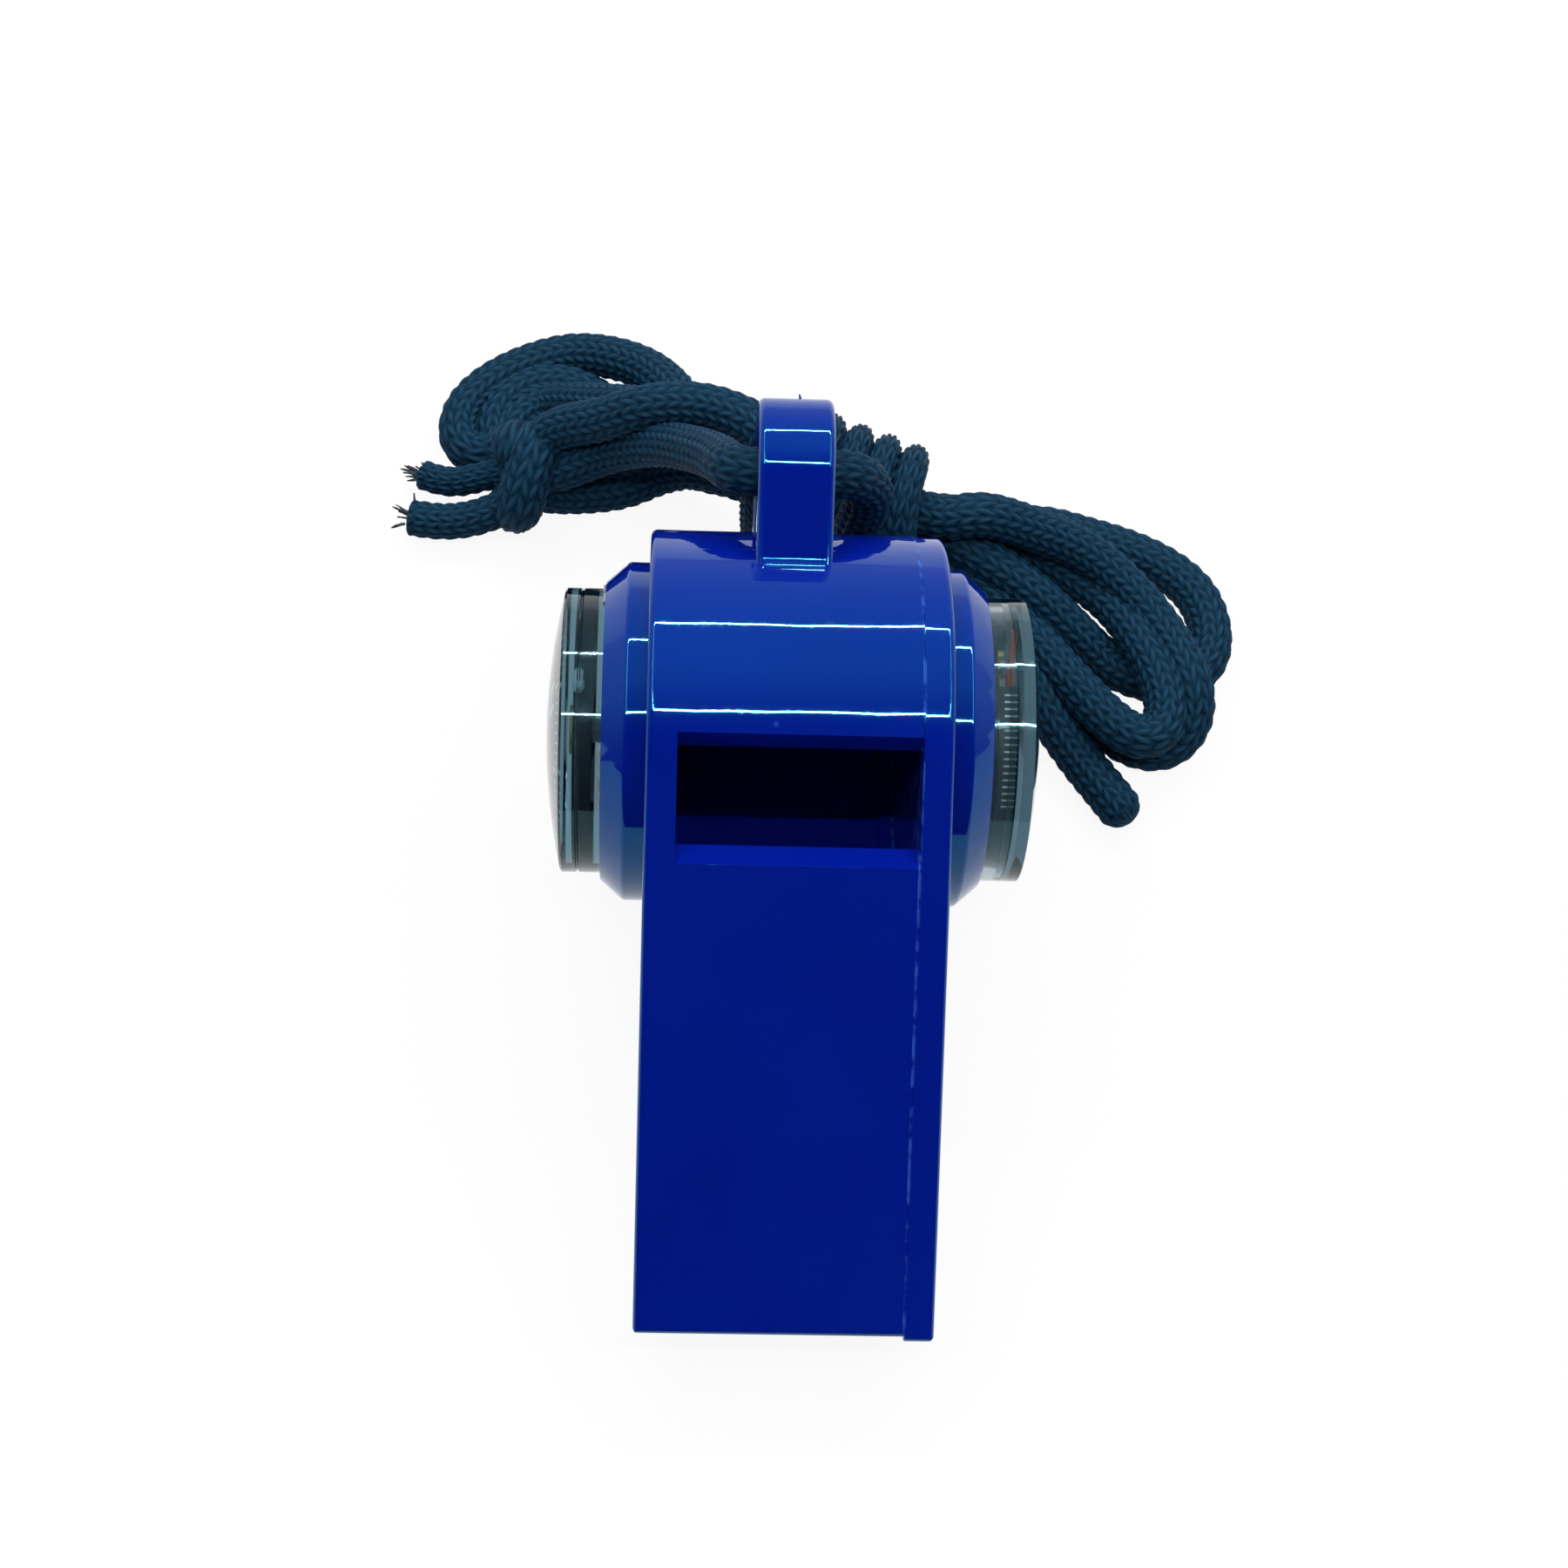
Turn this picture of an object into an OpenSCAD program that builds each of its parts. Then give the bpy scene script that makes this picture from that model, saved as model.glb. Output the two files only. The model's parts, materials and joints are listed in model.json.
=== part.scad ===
// Whistle with a compass in one cheek, a thermometer in the other and a knitted lanyard.
// Rigid pieces are drawn about the drum's axis, mouthpiece along -Y and top face up, then leaned
// until drum and mouthpiece both lie on the table. The cord is drawn where it lies.

/* [Whistle body] */
// Width over both side walls
body_w = 20.4; // [18:0.1:26]
// Thickness of the left side wall
side_wall = 2.1; // [1.4:0.1:3]
// Thickness of the glued side cover
cover_t = 2.1; // [1.4:0.1:3]
// Outer radius of the drum
drum_r = 14.2; // [12.5:0.1:18]
// Thickness of the drum's round wall
drum_wall = 1.6; // [1:0.1:2.4]
// From the drum's axis to the tip of the mouthpiece
tip_reach = 39.2; // [32:0.1:52]
// Height of the mouthpiece at its tip
tip_h = 8.5; // [7.5:0.1:11]
// Height of the mouthpiece where it meets the drum
root_h = 10; // [8:0.1:12]
// Rounding of the long edges and of the tip
edge_round = 0.5; // [0.2:0.1:0.8]
// How far the cover's tip stands past the body's tip
cover_proud = 0.35; // [0:0.05:0.6]
// How far the cover's edge lies below the body's surface
cover_step = 0.1; // [0:0.05:0.3]

/* [Windway and sound slot] */
// Thickness of the top plate over the windway
top_plate = 1.4; // [1:0.1:2]
// Height of the windway at the lips
inlet_h = 4.6; // [3:0.1:5]
// Height of the windway where it blows across the slot
outlet_h = 1.7; // [1:0.1:2.5]
// Rear edge of the slot, behind the drum's axis
slot_rear = 1.7; // [0.5:0.1:3]
// Length of the slot along the top
slot_len = 8.8; // [6:0.1:11]
// Slope of the slot's two ends, along the top
slot_bevel = 1.1; // [0.5:0.1:1.5]

/* [Lanyard loop] */
// Width of the loop's strap
loop_w = 5.2; // [4:0.1:7]
// Thickness of the loop's strap
loop_t = 2; // [1.4:0.1:2.6]
// Inner radius of the loop's round end
loop_r = 3; // [2.4:0.1:4]
// From the drum's surface to the centre of the round end
loop_reach = 4.3; // [3.5:0.1:6]
// Height of the loop's middle above the drum's axis
loop_rise = 2; // [0:0.1:4]
// The loop's middle, right of the body's middle
loop_shift = -0.45; // [-2:0.05:2]
// Radius of the fillet where the loop grows out of the drum
loop_fillet = 1; // [0.4:0.1:1.2]

/* [Capsules] */
// Radius of the compass and of the thermometer
capsule_r = 10; // [8.2:0.1:11.8]
// Radial clearance of a capsule in its bezel
seat_gap = 0.05; // [0.02:0.01:0.2]
// Width of a bezel at its foot
bezel_w = 1.85; // [1.4:0.05:2.2]
// Height of a bezel
bezel_h = 3; // [2:0.1:3.6]
// Height of a bezel's straight band
bezel_band = 1.4; // [0.8:0.1:1.8]
// Width left on a bezel's rim
bezel_rim = 0.45; // [0.3:0.05:0.8]
// Rounding between a bezel's band and its slope
bezel_round = 0.5; // [0.2:0.1:0.6]
// Thickness of a capsule's round wall
capsule_wall = 0.9; // [0.6:0.05:1.2]
// Thickness of a capsule's floor
capsule_floor = 1; // [0.6:0.1:1.4]
// Height of a cup, floor to joint
cup_h = 4.6; // [3.8:0.1:5.6]
// Height of a lens's straight rim
lens_rim = 1.2; // [0.8:0.1:1.6]
// Rise of a lens's dome above its rim
dome_rise = 1.2; // [0.9:0.1:2]
// Thickness of a dome
lens_t = 0.9; // [0.6:0.05:1]
// Depth of the step that centres a lens on its cup
joint_step = 0.5; // [0.3:0.1:0.8]

/* [Compass] */
// Gap round the floating card
card_gap = 0.8; // [0.5:0.1:1.4]
// Thickness of the card
card_t = 0.4; // [0.3:0.05:0.6]
// Depth of the card's skirt
card_skirt = 0.9; // [0.5:0.1:1.2]
// Gap from the card's top to the joint of cup and lens
card_lift = 0.35; // [0.1:0.05:0.5]
// Length of a magnet
magnet_l = 10; // [7:0.5:11]
// Width of a magnet
magnet_w = 1.6; // [1:0.1:2]
// From the card's centre to the middle of a magnet
magnet_out = 2.5; // [2.1:0.1:3]
// Radius of the card's bearing
bearing_r = 1.2; // [0.9:0.1:1.2]
// Radius of the pivot pin
pivot_r = 0.6; // [0.4:0.05:0.6]
// Play of the bearing on the pivot's point
pivot_play = 0.1; // [0.05:0.05:0.2]

/* [Thermometer] */
// Thickness of the dial
dial_t = 0.6; // [0.4:0.1:1]
// Depth of the ledge that carries the dial, below the joint of cup and lens
dial_depth = 1.8; // [1.6:0.1:2.2]
// Radius of the fixed post
post_r = 0.6; // [0.4:0.05:0.8]
// Running clearance of the hub on the post
hub_gap = 0.05; // [0.02:0.01:0.1]
// Outer radius of the pointer's hub
hub_r = 1.3; // [1.2:0.05:1.6]
// Height of the pointer's hub
hub_h = 1.5; // [1.3:0.1:1.6]
// Thickness of the bimetal strip
strip_t = 0.22; // [0.15:0.01:0.3]
// Width of the bimetal strip
strip_w = 1; // [0.7:0.05:1]
// Turns of the bimetal strip
coil_turns = 5; // [3:1:6]
// Growth of the coil from one turn to the next
coil_pitch = 0.75; // [0.7:0.01:0.85]
// Gap from the pointer's tip to the cup's wall
pointer_gap = 0.7; // [0.5:0.1:2]
// Width of the pointer at its root
pointer_w = 1.1; // [0.6:0.1:1.6]
// Thickness of the pointer
pointer_t = 0.25; // [0.15:0.05:0.3]
// Direction of the pointer, up from the whistle's rear
pointer_dir = 22; // [-60:1:110]

/* [Lanyard] */
// Diameter of the knitted cord
cord_d = 2.8; // [2.4:0.1:3]
// Turns of the tie round the hank's waist
tie_turns = 4; // [3:1:4]
// Step of the tie from one turn to the next
tie_pitch = 3.3; // [3.3:0.1:3.6]
// Spacing of the strands that the tie holds
strand_step = 3.3; // [3.3:0.1:3.6]

/* [Hidden] */
$fn = 96;
// Overlap that lets a cut pass clean through
cut = 1;
// Gap between pieces that are glued or pressed together
fit_gap = 0.02;

// Body
half_w = body_w / 2;
seam_x = half_w - cover_t;
inner_x = side_wall - half_w;
chamber_r = drum_r - drum_wall;
ceiling_z = drum_r - top_plate;
slot_front = slot_rear - slot_len;
// Rear end of the windway's floor, set back under the slot's front edge
floor_end = slot_front - slot_bevel / 2;
// Height of the cover's locating rib, its width, and its top below the windway
rib_h = 1;
rib_t = 1.1;
rib_top = 4;
loop_y = drum_r + loop_reach;
loop_out = loop_r + loop_t;

// Rest on the table: the lean at which a tip's rounded lower edge comes down level with the drum
function lean_for(reach, low) =
    atan2(low + edge_round, reach - edge_round)
    + asin((drum_r - edge_round) / norm([low + edge_round, reach - edge_round]));
tip_low = drum_r - tip_h;
lean = min(lean_for(tip_reach, tip_low), lean_for(tip_reach + cover_proud, tip_low + cover_step));
front_y = (edge_round - tip_reach - cover_proud) * cos(lean)
    - (drum_r - cover_step - edge_round) * sin(lean) - edge_round;
rear_y = loop_y * cos(lean) - loop_rise * sin(lean) + loop_out;
// The drum's axis, so that the whistle's middle lies over the origin
axis_y = -(front_y + rear_y) / 2;

// Capsules, heights above the side wall
rim_u = cup_h + lens_rim;
apex_u = rim_u + dome_rise;
dome_r = (capsule_r * capsule_r + dome_rise * dome_rise) / (2 * dome_rise);
bore_r = capsule_r - capsule_wall;
step_r = capsule_r - capsule_wall / 2;
pocket_r = capsule_r + seat_gap;
bezel_r = pocket_r + bezel_w;
rim_r = pocket_r + bezel_rim;
// Slope of a bezel, away from its band
bezel_slope = atan2(bezel_r - rim_r, bezel_h - bezel_band);

// Compass
card_r = bore_r - card_gap;
card_top = cup_h + card_lift;
card_low = card_top - card_t;
magnet_t = card_skirt;
pivot_tip = card_top - pivot_play;
pivot_cone = 0.7;
pivot_flange_r = 1.8;
pivot_flange_t = 0.5;
skirt_t = 0.4;
// Height of the bearing, and how far it stands up from the card
bearing_h = 1.1;
bearing_up = 0.35;
bearing_low = card_top + bearing_up - bearing_h;

// Thermometer
dial_low = cup_h - dial_depth;
dial_top = dial_low + dial_t;
dial_r = bore_r - seat_gap;
ledge_w = 0.8;
// End play of the hub, and the step from hub to pointer to strip
hub_play = 0.1;
hub_low = dial_top + hub_play;
hub_top = hub_low + hub_h;
pointer_low = hub_top - hub_play - pointer_t;
strip_low = pointer_low - hub_play - strip_w;
// Head of the post: its height, and its width past the shaft
head_t = 0.3;
head_low = hub_top + hub_play;
coil_gap = 0.15;
coil_in = hub_r + coil_gap;
coil_out = coil_in + coil_turns * coil_pitch;
anchor_r = 0.45;
pointer_l = bore_r - pointer_gap;
pointer_ring = 0.6;
pointer_tail = 3;
pointer_tip_w = 0.5;

// Middle of the lanyard loop's eye, as the whistle lies
eye_y = axis_y + loop_y * cos(lean) - loop_rise * sin(lean);
eye_z = drum_r + loop_y * sin(lean) + loop_rise * cos(lean);

// Cord. Its routes have Y measured from a line just behind the drum, and no ring lies lower than the
// table allows. The eye is eye_back behind that line.
cord_y = axis_y + drum_r + 0.93;
eye_back = eye_y - cord_y;
cord_r = cord_d / 2;
lie_z = cord_r + 0.1;
// The hank's waist: its middle, its direction in plan, and the three strands stacked in it
waist = [2.6, 7.75];
waist_dir = -21;
waist_x = [cos(waist_dir), sin(waist_dir)];
waist_n = [-sin(waist_dir), cos(waist_dir)];
waist_l = tie_turns * tie_pitch;
// The tie's turns: round ends, drawn apart by the stack, from tie_start round to the same angle
tie_r = cord_d + 0.4;
tie_start = 135;
stack_z = strand_step + tie_r + lie_z;
strand_z = [stack_z - strand_step, stack_z, stack_z + strand_step];
rings_per_loop = 24;
form_sides = 6;
free_sides = 8;
// The knot: the middles of its two lobes, and their radius
knot_r = 2.8;
knot_front = [-20.2, 8.6, 3.2];
knot_rear = [-20, 11.8, 5.4];
// Where the lead hands over to the hank
lead_end = [20.2, 8.4, lie_z];
// Room between the cord and the strap of the eye, which the lead's sag in the eye is a share of
eye_room = loop_r - cord_r;
eye_mid = eye_z - 0.25 * eye_room;
eye_side = eye_z - 0.625 * eye_room;

// Routes of the free stretches, chosen by hand
lead_route = [[-17, 10.6, 5], [-13.2, 11.2, 7], [-9.2, 8.8, 12.4], [-5.8, 4, eye_z - 5.4],
              [-4.4, eye_back + 0.6, eye_side], [-0.4, eye_back, eye_mid], [3.4, eye_back + 0.5, eye_side],
              [5.2, 1.1, eye_z - 4.4], [4.8, 1, 16.6], [4.4, 0.75, 12.6], [5, -0.2, 8.8], [7, -0.8, 5],
              [9.4, 0, 2.2], [11.4, 2.8, lie_z], [12.8, 6, lie_z], [15.6, 8, lie_z], lead_end];
tie_lead_route = [[-17.4, 12.6, 7.6], [-14, 12, 10.6], [-11.2, 11.8, 13.6], [-7.6, 12.2, 15.4],
                  [-5.5, 11.3, 16.2], tie_end(0)];
tie_tail_route = [tie_end(1), [8.8, 1.2, 7.2], [11, 0.4, 6.2], [13.4, -0.6, 5.6], [15.8, -2.4, 5.2],
                  [17.8, -5, 4.6], [20, -8.2, 3.2], [22.8, -11.6, lie_z], [26.2, -16.2, lie_z]];
tail_routes = [[[-22.8, 7.8, 2.4], [-26, 7.4, 1.6], [-29.2, 7.8, lie_z]],
               [[-22.8, 10.8, 3.2], [-25.8, 10.6, 2], [-28.4, 11.6, lie_z]]];

// A smooth line through control points, n steps from each to the next, kept above the table
function unit(v) = v / norm(v);
function at(p, i) = p[min(max(i, 0), len(p) - 1)];
function smooth(a, b, c, d, t) =
    b + 0.5 * t * (c - a + t * (2 * a - 5 * b + 4 * c - d + t * (3 * (b - c) + d - a)));
function above_table(p) = [p[0], p[1], max(p[2], lie_z)];
function curve(p, n) = [
    for (i = [0 : len(p) - 2], k = [0 : n - 1])
        above_table(smooth(at(p, i - 1), p[i], p[i + 1], at(p, i + 2), k / n)),
    p[len(p) - 1]];

// A point on the waist: along the strands, out to the rear, and up from the table
function on_waist(along, out, z) =
    let (p = waist + along * waist_x + out * waist_n) [p[0], p[1], z];
// A strand of the hank through the tie, to the right (way = 1) or to the left (way = -1)
function through(z, way) = [for (x = [-0.7 : 0.35 : 0.71]) on_waist(way * x * waist_l, 0, z)];

// A point of the tie's winding, from t = 0 to t = 1. Each turn has round ends and long sides, and the
// larger spread is, the rounder the ends are.
function tie_turn(t) =
    let (a = tie_start + 360 * tie_turns * t, spread = 1.6)
    on_waist((t - 0.5) * waist_l, tie_r * cos(a),
             stack_z + tie_r * sin(a) + strand_step * sin(90 * min(max(spread * sin(a), -1), 1)));
// End of a straight run of one diameter past the winding's start (t = 0) or its end (t = 1)
function tie_end(t) =
    tie_turn(t) + (2 * t - 1) * cord_d * unit(tie_turn(t + 0.001) - tie_turn(t - 0.001));
tie_rings = tie_turns * rings_per_loop;
tie_path = concat([tie_end(0)], [for (i = [0 : tie_rings]) tie_turn(i / tie_rings)], [tie_end(1)]);

// The hank: first right lobe, waist, left lobe, waist, second right lobe over the first, waist, knot
hank_path = curve(concat(
    [lead_end, [23.4, 7.6, lie_z], [26.7, 6.6, lie_z], [29.6, 5.2, lie_z], [31.9, 3.2, lie_z],
     [33, 0.4, lie_z], [32.7, -2.6, lie_z], [30.6, -4.5, lie_z], [27.6, -4.4, lie_z], [24.6, -3.1, 1.9],
     [21.6, -1.3, 4.1], [18.2, 0.7, 6.3], [14.6, 2.6, 7.7]],
    through(strand_z[1], -1),
    [[-7.6, 14.2, 7], [-8.8, 17.4, 5.4], [-11, 20.2, 3.8], [-14, 21.9, 2.6], [-17, 22.5, 1.8],
     [-19.8, 21.8, lie_z], [-22.4, 20.4, lie_z], [-24.6, 18.4, lie_z], [-25.6, 16, lie_z],
     [-25, 13.8, lie_z], [-23.2, 13.4, lie_z], [-21.8, 15, lie_z], [-20.8, 17, 1.6], [-18.2, 17.9, 1.9],
     [-14.6, 15.8, 5.6], [-10.2, 13, 10]],
    through(strand_z[2], 1),
    [[14.2, 4.6, 10.8], [18.2, 4.5, 8.9], [22.4, 3.7, 7], [26.2, 1.2, 5.4], [29, -2.4, 4.8],
     [30.6, -6, 4.8], [30.8, -8.6, 3.2], [29, -10.3, 1.7], [26.2, -9.8, lie_z], [23.6, -7.6, lie_z],
     [21, -4.6, lie_z], [18, -1.4, 1.8], [14.6, 1.8, 3.6]],
    through(strand_z[0], -1),
    [[-9.4, 11.8, 2.6], [-12.8, 10.8, lie_z], [-17.4, 10, 2]]), 2);

// Least gap of a tube to itself, over rings more than three diameters apart along it, and to another
function reach_along(p, i = 0, s = 0) =
    i == len(p) ? [] : concat([s], reach_along(p, i + 1, s + norm(at(p, i + 1) - p[i])));
function self_gap(p) =
    let (fine = curve(p, 3), s = reach_along(fine))
    min([for (i = [0 : len(fine) - 2], j = [i + 1 : len(fine) - 1])
        if (s[j] - s[i] > 3 * cord_d) norm(fine[j] - fine[i])]) - cord_d;
function gap_between(p, q) =
    min([for (a = curve(p, 3), b = curve(q, 3)) norm(a - b)]) - cord_d;

// Whistle pieces lean with the whistle
module resting() {
    translate([0, axis_y, drum_r]) rotate([lean, 0, 0]) children();
}

// Cord lies behind the whistle
module lying() {
    color("#141a1e") translate([0, cord_y, 0]) children();
}

// A turned piece on the drum's axis: its profile has radius across and height along X
module turned() {
    rotate([0, 90, 0]) rotate_extrude() children();
}

// A piece in a cheek: side = -1 for the compass, 1 for the thermometer, height out from the side wall
module in_cheek(side) {
    resting() mirror([side < 0 ? 1 : 0, 0, 0]) translate([half_w, 0, 0]) children();
}

// A side profile, drawn as Y and Z, given its width along X
module across(x0, x1) {
    translate([x0, 0, 0]) rotate([90, 0, 90]) linear_extrude(x1 - x0) children();
}

// A rectangle with round corners, about its middle
module rounded(w, h, r) {
    square([w - 2 * r, h], center = true);
    square([w, h - 2 * r], center = true);
    for (x = [-1, 1], y = [-1, 1]) translate([x * (w / 2 - r), y * (h / 2 - r)]) circle(r);
}

// The drum with its rounded rims
module drum_form(r) {
    turned() {
        intersection() {
            rounded(2 * r, body_w, edge_round);
            translate([0, -body_w]) square([2 * r, 2 * body_w]);
        }
    }
}

// The mouthpiece: a side profile with a round tip, trimmed by a rounded section and a rounded plan
module mouth_form(top, reach, low) {
    e = edge_round;
    long = 3 * reach;
    intersection() {
        across(-half_w, half_w) {
            polygon([[0, top], [e - reach, top], [-reach, top - e], [-reach, low + e], [e - reach, low],
                     [-chamber_r, drum_r - root_h], [0, drum_r - root_h]]);
            translate([e - reach, top - e]) circle(e);
            translate([e - reach, low + e]) circle(e);
        }
        translate([0, reach / 2, top - long / 2]) rotate([90, 0, 0]) linear_extrude(2 * reach)
            rounded(body_w, long, e);
        translate([0, long / 2 - reach, -long / 2]) linear_extrude(long) rounded(body_w, long, e);
    }
}

// Ring that a capsule sits in: a straight band, a rounded edge and a slope up to the rim
module bezel_ring() {
    edge_u = bezel_band - bezel_round * tan(bezel_slope / 2);
    turned() polygon(concat(
        [[pocket_r, -cut], [bezel_r, -cut]],
        [for (i = [0 : 4]) let (a = bezel_slope * i / 4)
            [bezel_r - bezel_round * (1 - cos(a)), edge_u + bezel_round * sin(a)]],
        [[rim_r, bezel_h], [pocket_r, bezel_h]]));
}

// The strap bent into a U behind the drum
module lanyard_loop() {
    translate([loop_shift, loop_y, loop_rise]) {
        rotate([0, 90, 0]) rotate_extrude(angle = 180)
            translate([loop_r + loop_t / 2, 0]) rounded(loop_t, loop_w, edge_round);
        for (z = [-1, 1]) translate([0, 0, z * (loop_r + loop_t / 2)]) rotate([90, 0, 0])
            linear_extrude(loop_y) rounded(loop_w, loop_t, edge_round);
    }
    // Fillet between the upper leg and the drum
    leg_top = loop_rise + loop_out;
    fillet_z = leg_top + loop_fillet;
    fillet_y = sqrt(pow(drum_r + loop_fillet, 2) - fillet_z * fillet_z);
    foot = [fillet_y, fillet_z] * drum_r / (drum_r + loop_fillet);
    translate([loop_shift, 0, 0]) across(edge_round - loop_w / 2, loop_w / 2 - edge_round) difference() {
        polygon([[fillet_y, leg_top], foot, foot - [drum_wall / 2, 0],
                 [foot[0] - drum_wall / 2, leg_top - loop_t / 2], [fillet_y, leg_top - loop_t / 2]]);
        translate([fillet_y, fillet_z]) circle(loop_fillet);
    }
}

module whistle_body() {
    color("#0a35b0") resting() difference() {
        union() {
            intersection() {
                union() {
                    drum_form(drum_r);
                    mouth_form(drum_r, tip_reach, tip_low);
                }
                translate([seam_x - 2 * body_w, -2 * tip_reach, -2 * drum_r])
                    cube([2 * body_w, 4 * tip_reach, 4 * drum_r]);
            }
            mirror([1, 0, 0]) translate([half_w, 0, 0]) bezel_ring();
            lanyard_loop();
        }
        // Chamber
        translate([inner_x, 0, 0]) rotate([0, 90, 0]) cylinder(r = chamber_r, h = body_w);
        // Windway, from the lips to the slot
        across(inner_x, half_w) polygon([
            [-tip_reach - cut, ceiling_z], [slot_front + slot_bevel, ceiling_z],
            [slot_front + slot_bevel, ceiling_z - 2 * outlet_h], [floor_end, ceiling_z - 2 * outlet_h],
            [floor_end, ceiling_z - outlet_h], [-tip_reach, ceiling_z - inlet_h],
            [-tip_reach - cut, ceiling_z - inlet_h]]);
        // Sound slot, its ends sloping in to the lip and to the top plate's edge
        across(inner_x, half_w) polygon([
            [slot_rear + slot_bevel * cut / top_plate, drum_r + cut],
            [slot_rear - slot_bevel, ceiling_z], [slot_rear - slot_bevel, 0],
            [slot_front + slot_bevel, 0], [slot_front + slot_bevel, ceiling_z],
            [slot_front - slot_bevel * cut / top_plate, drum_r + cut]]);
    }
}

module side_cover() {
    color("#0a35b0") resting() {
        intersection() {
            union() {
                drum_form(drum_r - cover_step);
                mouth_form(drum_r - cover_step, tip_reach + cover_proud, tip_low + cover_step);
            }
            translate([seam_x, -2 * tip_reach, -2 * drum_r]) cube([body_w, 4 * tip_reach, 4 * drum_r]);
        }
        translate([half_w, 0, 0]) bezel_ring();
        // Rib that centres the cover in the drum, below the windway and the slot
        difference() {
            translate([seam_x - rib_h, 0, 0]) turned() translate([chamber_r - seat_gap - rib_t, 0])
                square([rib_t, rib_h + cut]);
            translate([0, -drum_r, rib_top]) cube([body_w, 2 * drum_r, drum_r]);
        }
    }
}

// Clear cup with a step inside its rim for the lens
module cup_form(ledge) {
    turned() {
        square([capsule_r, capsule_floor]);
        translate([bore_r, 0]) square([capsule_wall, cup_h - joint_step]);
        translate([step_r, 0]) square([capsule_r - step_r, cup_h]);
        if (ledge > 0) translate([bore_r - ledge_w, 0]) square([capsule_wall, dial_low]);
    }
}

// Clear lens: straight rim, shallow dome and a tongue that drops inside the cup
module lens_form() {
    turned() difference() {
        union() {
            translate([0, cup_h]) square([capsule_r, lens_rim]);
            intersection() {
                translate([0, apex_u - dome_r]) circle(dome_r, $fn = 180);
                translate([0, rim_u]) square([capsule_r, 2 * dome_rise]);
            }
            translate([0, cup_h - joint_step + fit_gap]) square([step_r - fit_gap, joint_step]);
        }
        intersection() {
            translate([0, apex_u - dome_r]) circle(dome_r - lens_t, $fn = 180);
            translate([0, cup_h - joint_step - cut]) square([bore_r, 2 * apex_u]);
        }
    }
}

module compass_cup() {
    color("#dfe8ea", 0.4) in_cheek(-1) cup_form(0);
}

module compass_lens() {
    color("#dfe8ea", 0.4) in_cheek(-1) lens_form();
}

module compass_card() {
    color("#141618") in_cheek(-1) turned() {
        translate([bearing_r + fit_gap, card_low]) square([card_r - bearing_r - fit_gap, card_t]);
        translate([card_r - skirt_t, card_low - card_skirt]) square([skirt_t, card_skirt + card_t / 2]);
    }
}

module card_magnets() {
    color("#8a8d90") in_cheek(-1) for (y = [-1, 1])
        translate([card_low - magnet_t, y * magnet_out - magnet_w / 2, -magnet_l / 2])
            cube([magnet_t, magnet_w, magnet_l]);
}

// Brass cup that rides on the pivot's point
module card_bearing() {
    color("#c8a24a") in_cheek(-1) difference() {
        translate([bearing_low, 0, 0]) rotate([0, 90, 0]) cylinder(r = bearing_r, h = bearing_h);
        translate([card_top - pivot_cone - pivot_play, 0, 0]) rotate([0, 90, 0])
            cylinder(r1 = pivot_r + pivot_play, r2 = pivot_play, h = pivot_cone + pivot_play);
        translate([bearing_low - cut, 0, 0]) rotate([0, 90, 0])
            cylinder(r = pivot_r + pivot_play, h = cut + card_top - pivot_cone - pivot_play - bearing_low);
    }
}

module compass_pivot() {
    color("#b8bcc0") in_cheek(-1) turned() polygon([
        [0, capsule_floor], [pivot_flange_r, capsule_floor],
        [pivot_flange_r, capsule_floor + pivot_flange_t], [pivot_r, capsule_floor + pivot_flange_t],
        [pivot_r, pivot_tip - pivot_cone], [0, pivot_tip]]);
}

module thermometer_cup() {
    color("#dfe8ea", 0.4) in_cheek(1) cup_form(ledge_w);
}

module thermometer_lens() {
    color("#dfe8ea", 0.4) in_cheek(1) lens_form();
}

module thermometer_dial() {
    color("#1c1f22") in_cheek(1) turned()
        translate([post_r + fit_gap, dial_low]) square([dial_r - post_r - fit_gap, dial_t]);
}

// Brass post: a foot on the cup's floor, a shaft for the hub and a head that keeps the hub on
module thermometer_post() {
    color("#c8a24a") in_cheek(1) turned() {
        translate([0, capsule_floor]) square([2 * post_r, dial_low - capsule_floor]);
        translate([0, capsule_floor]) square([post_r, head_low + head_t - capsule_floor]);
        translate([0, head_low]) square([post_r + head_t, head_t]);
    }
}

module pointer_hub() {
    color("#c8a24a") in_cheek(1) turned()
        translate([post_r + hub_gap, hub_low]) square([hub_r - post_r - hub_gap, hub_h]);
}

// Bimetal strip wound in a flat spiral, from beside the hub out to its anchor
function coil_point(a, out) = (coil_in + coil_pitch * a / 360 + out) * [cos(a), sin(a)];
module bimetal_coil() {
    sweep = 360 * coil_turns;
    step = 360 / rings_per_loop;
    color("#b9b4a6") in_cheek(1) translate([strip_low, 0, 0]) across(0, strip_w) polygon(concat(
        [for (a = [0 : step : sweep]) coil_point(a, 0)],
        [for (a = [sweep : -step : 0]) coil_point(a, strip_t)]));
}

// Pin on the dial that holds the coil's outer end
module coil_anchor() {
    color("#c8a24a") in_cheek(1) translate([dial_top, coil_out + strip_t + anchor_r + fit_gap, 0])
        rotate([0, 90, 0]) cylinder(r = anchor_r, h = strip_low + strip_w - dial_top);
}

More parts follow.
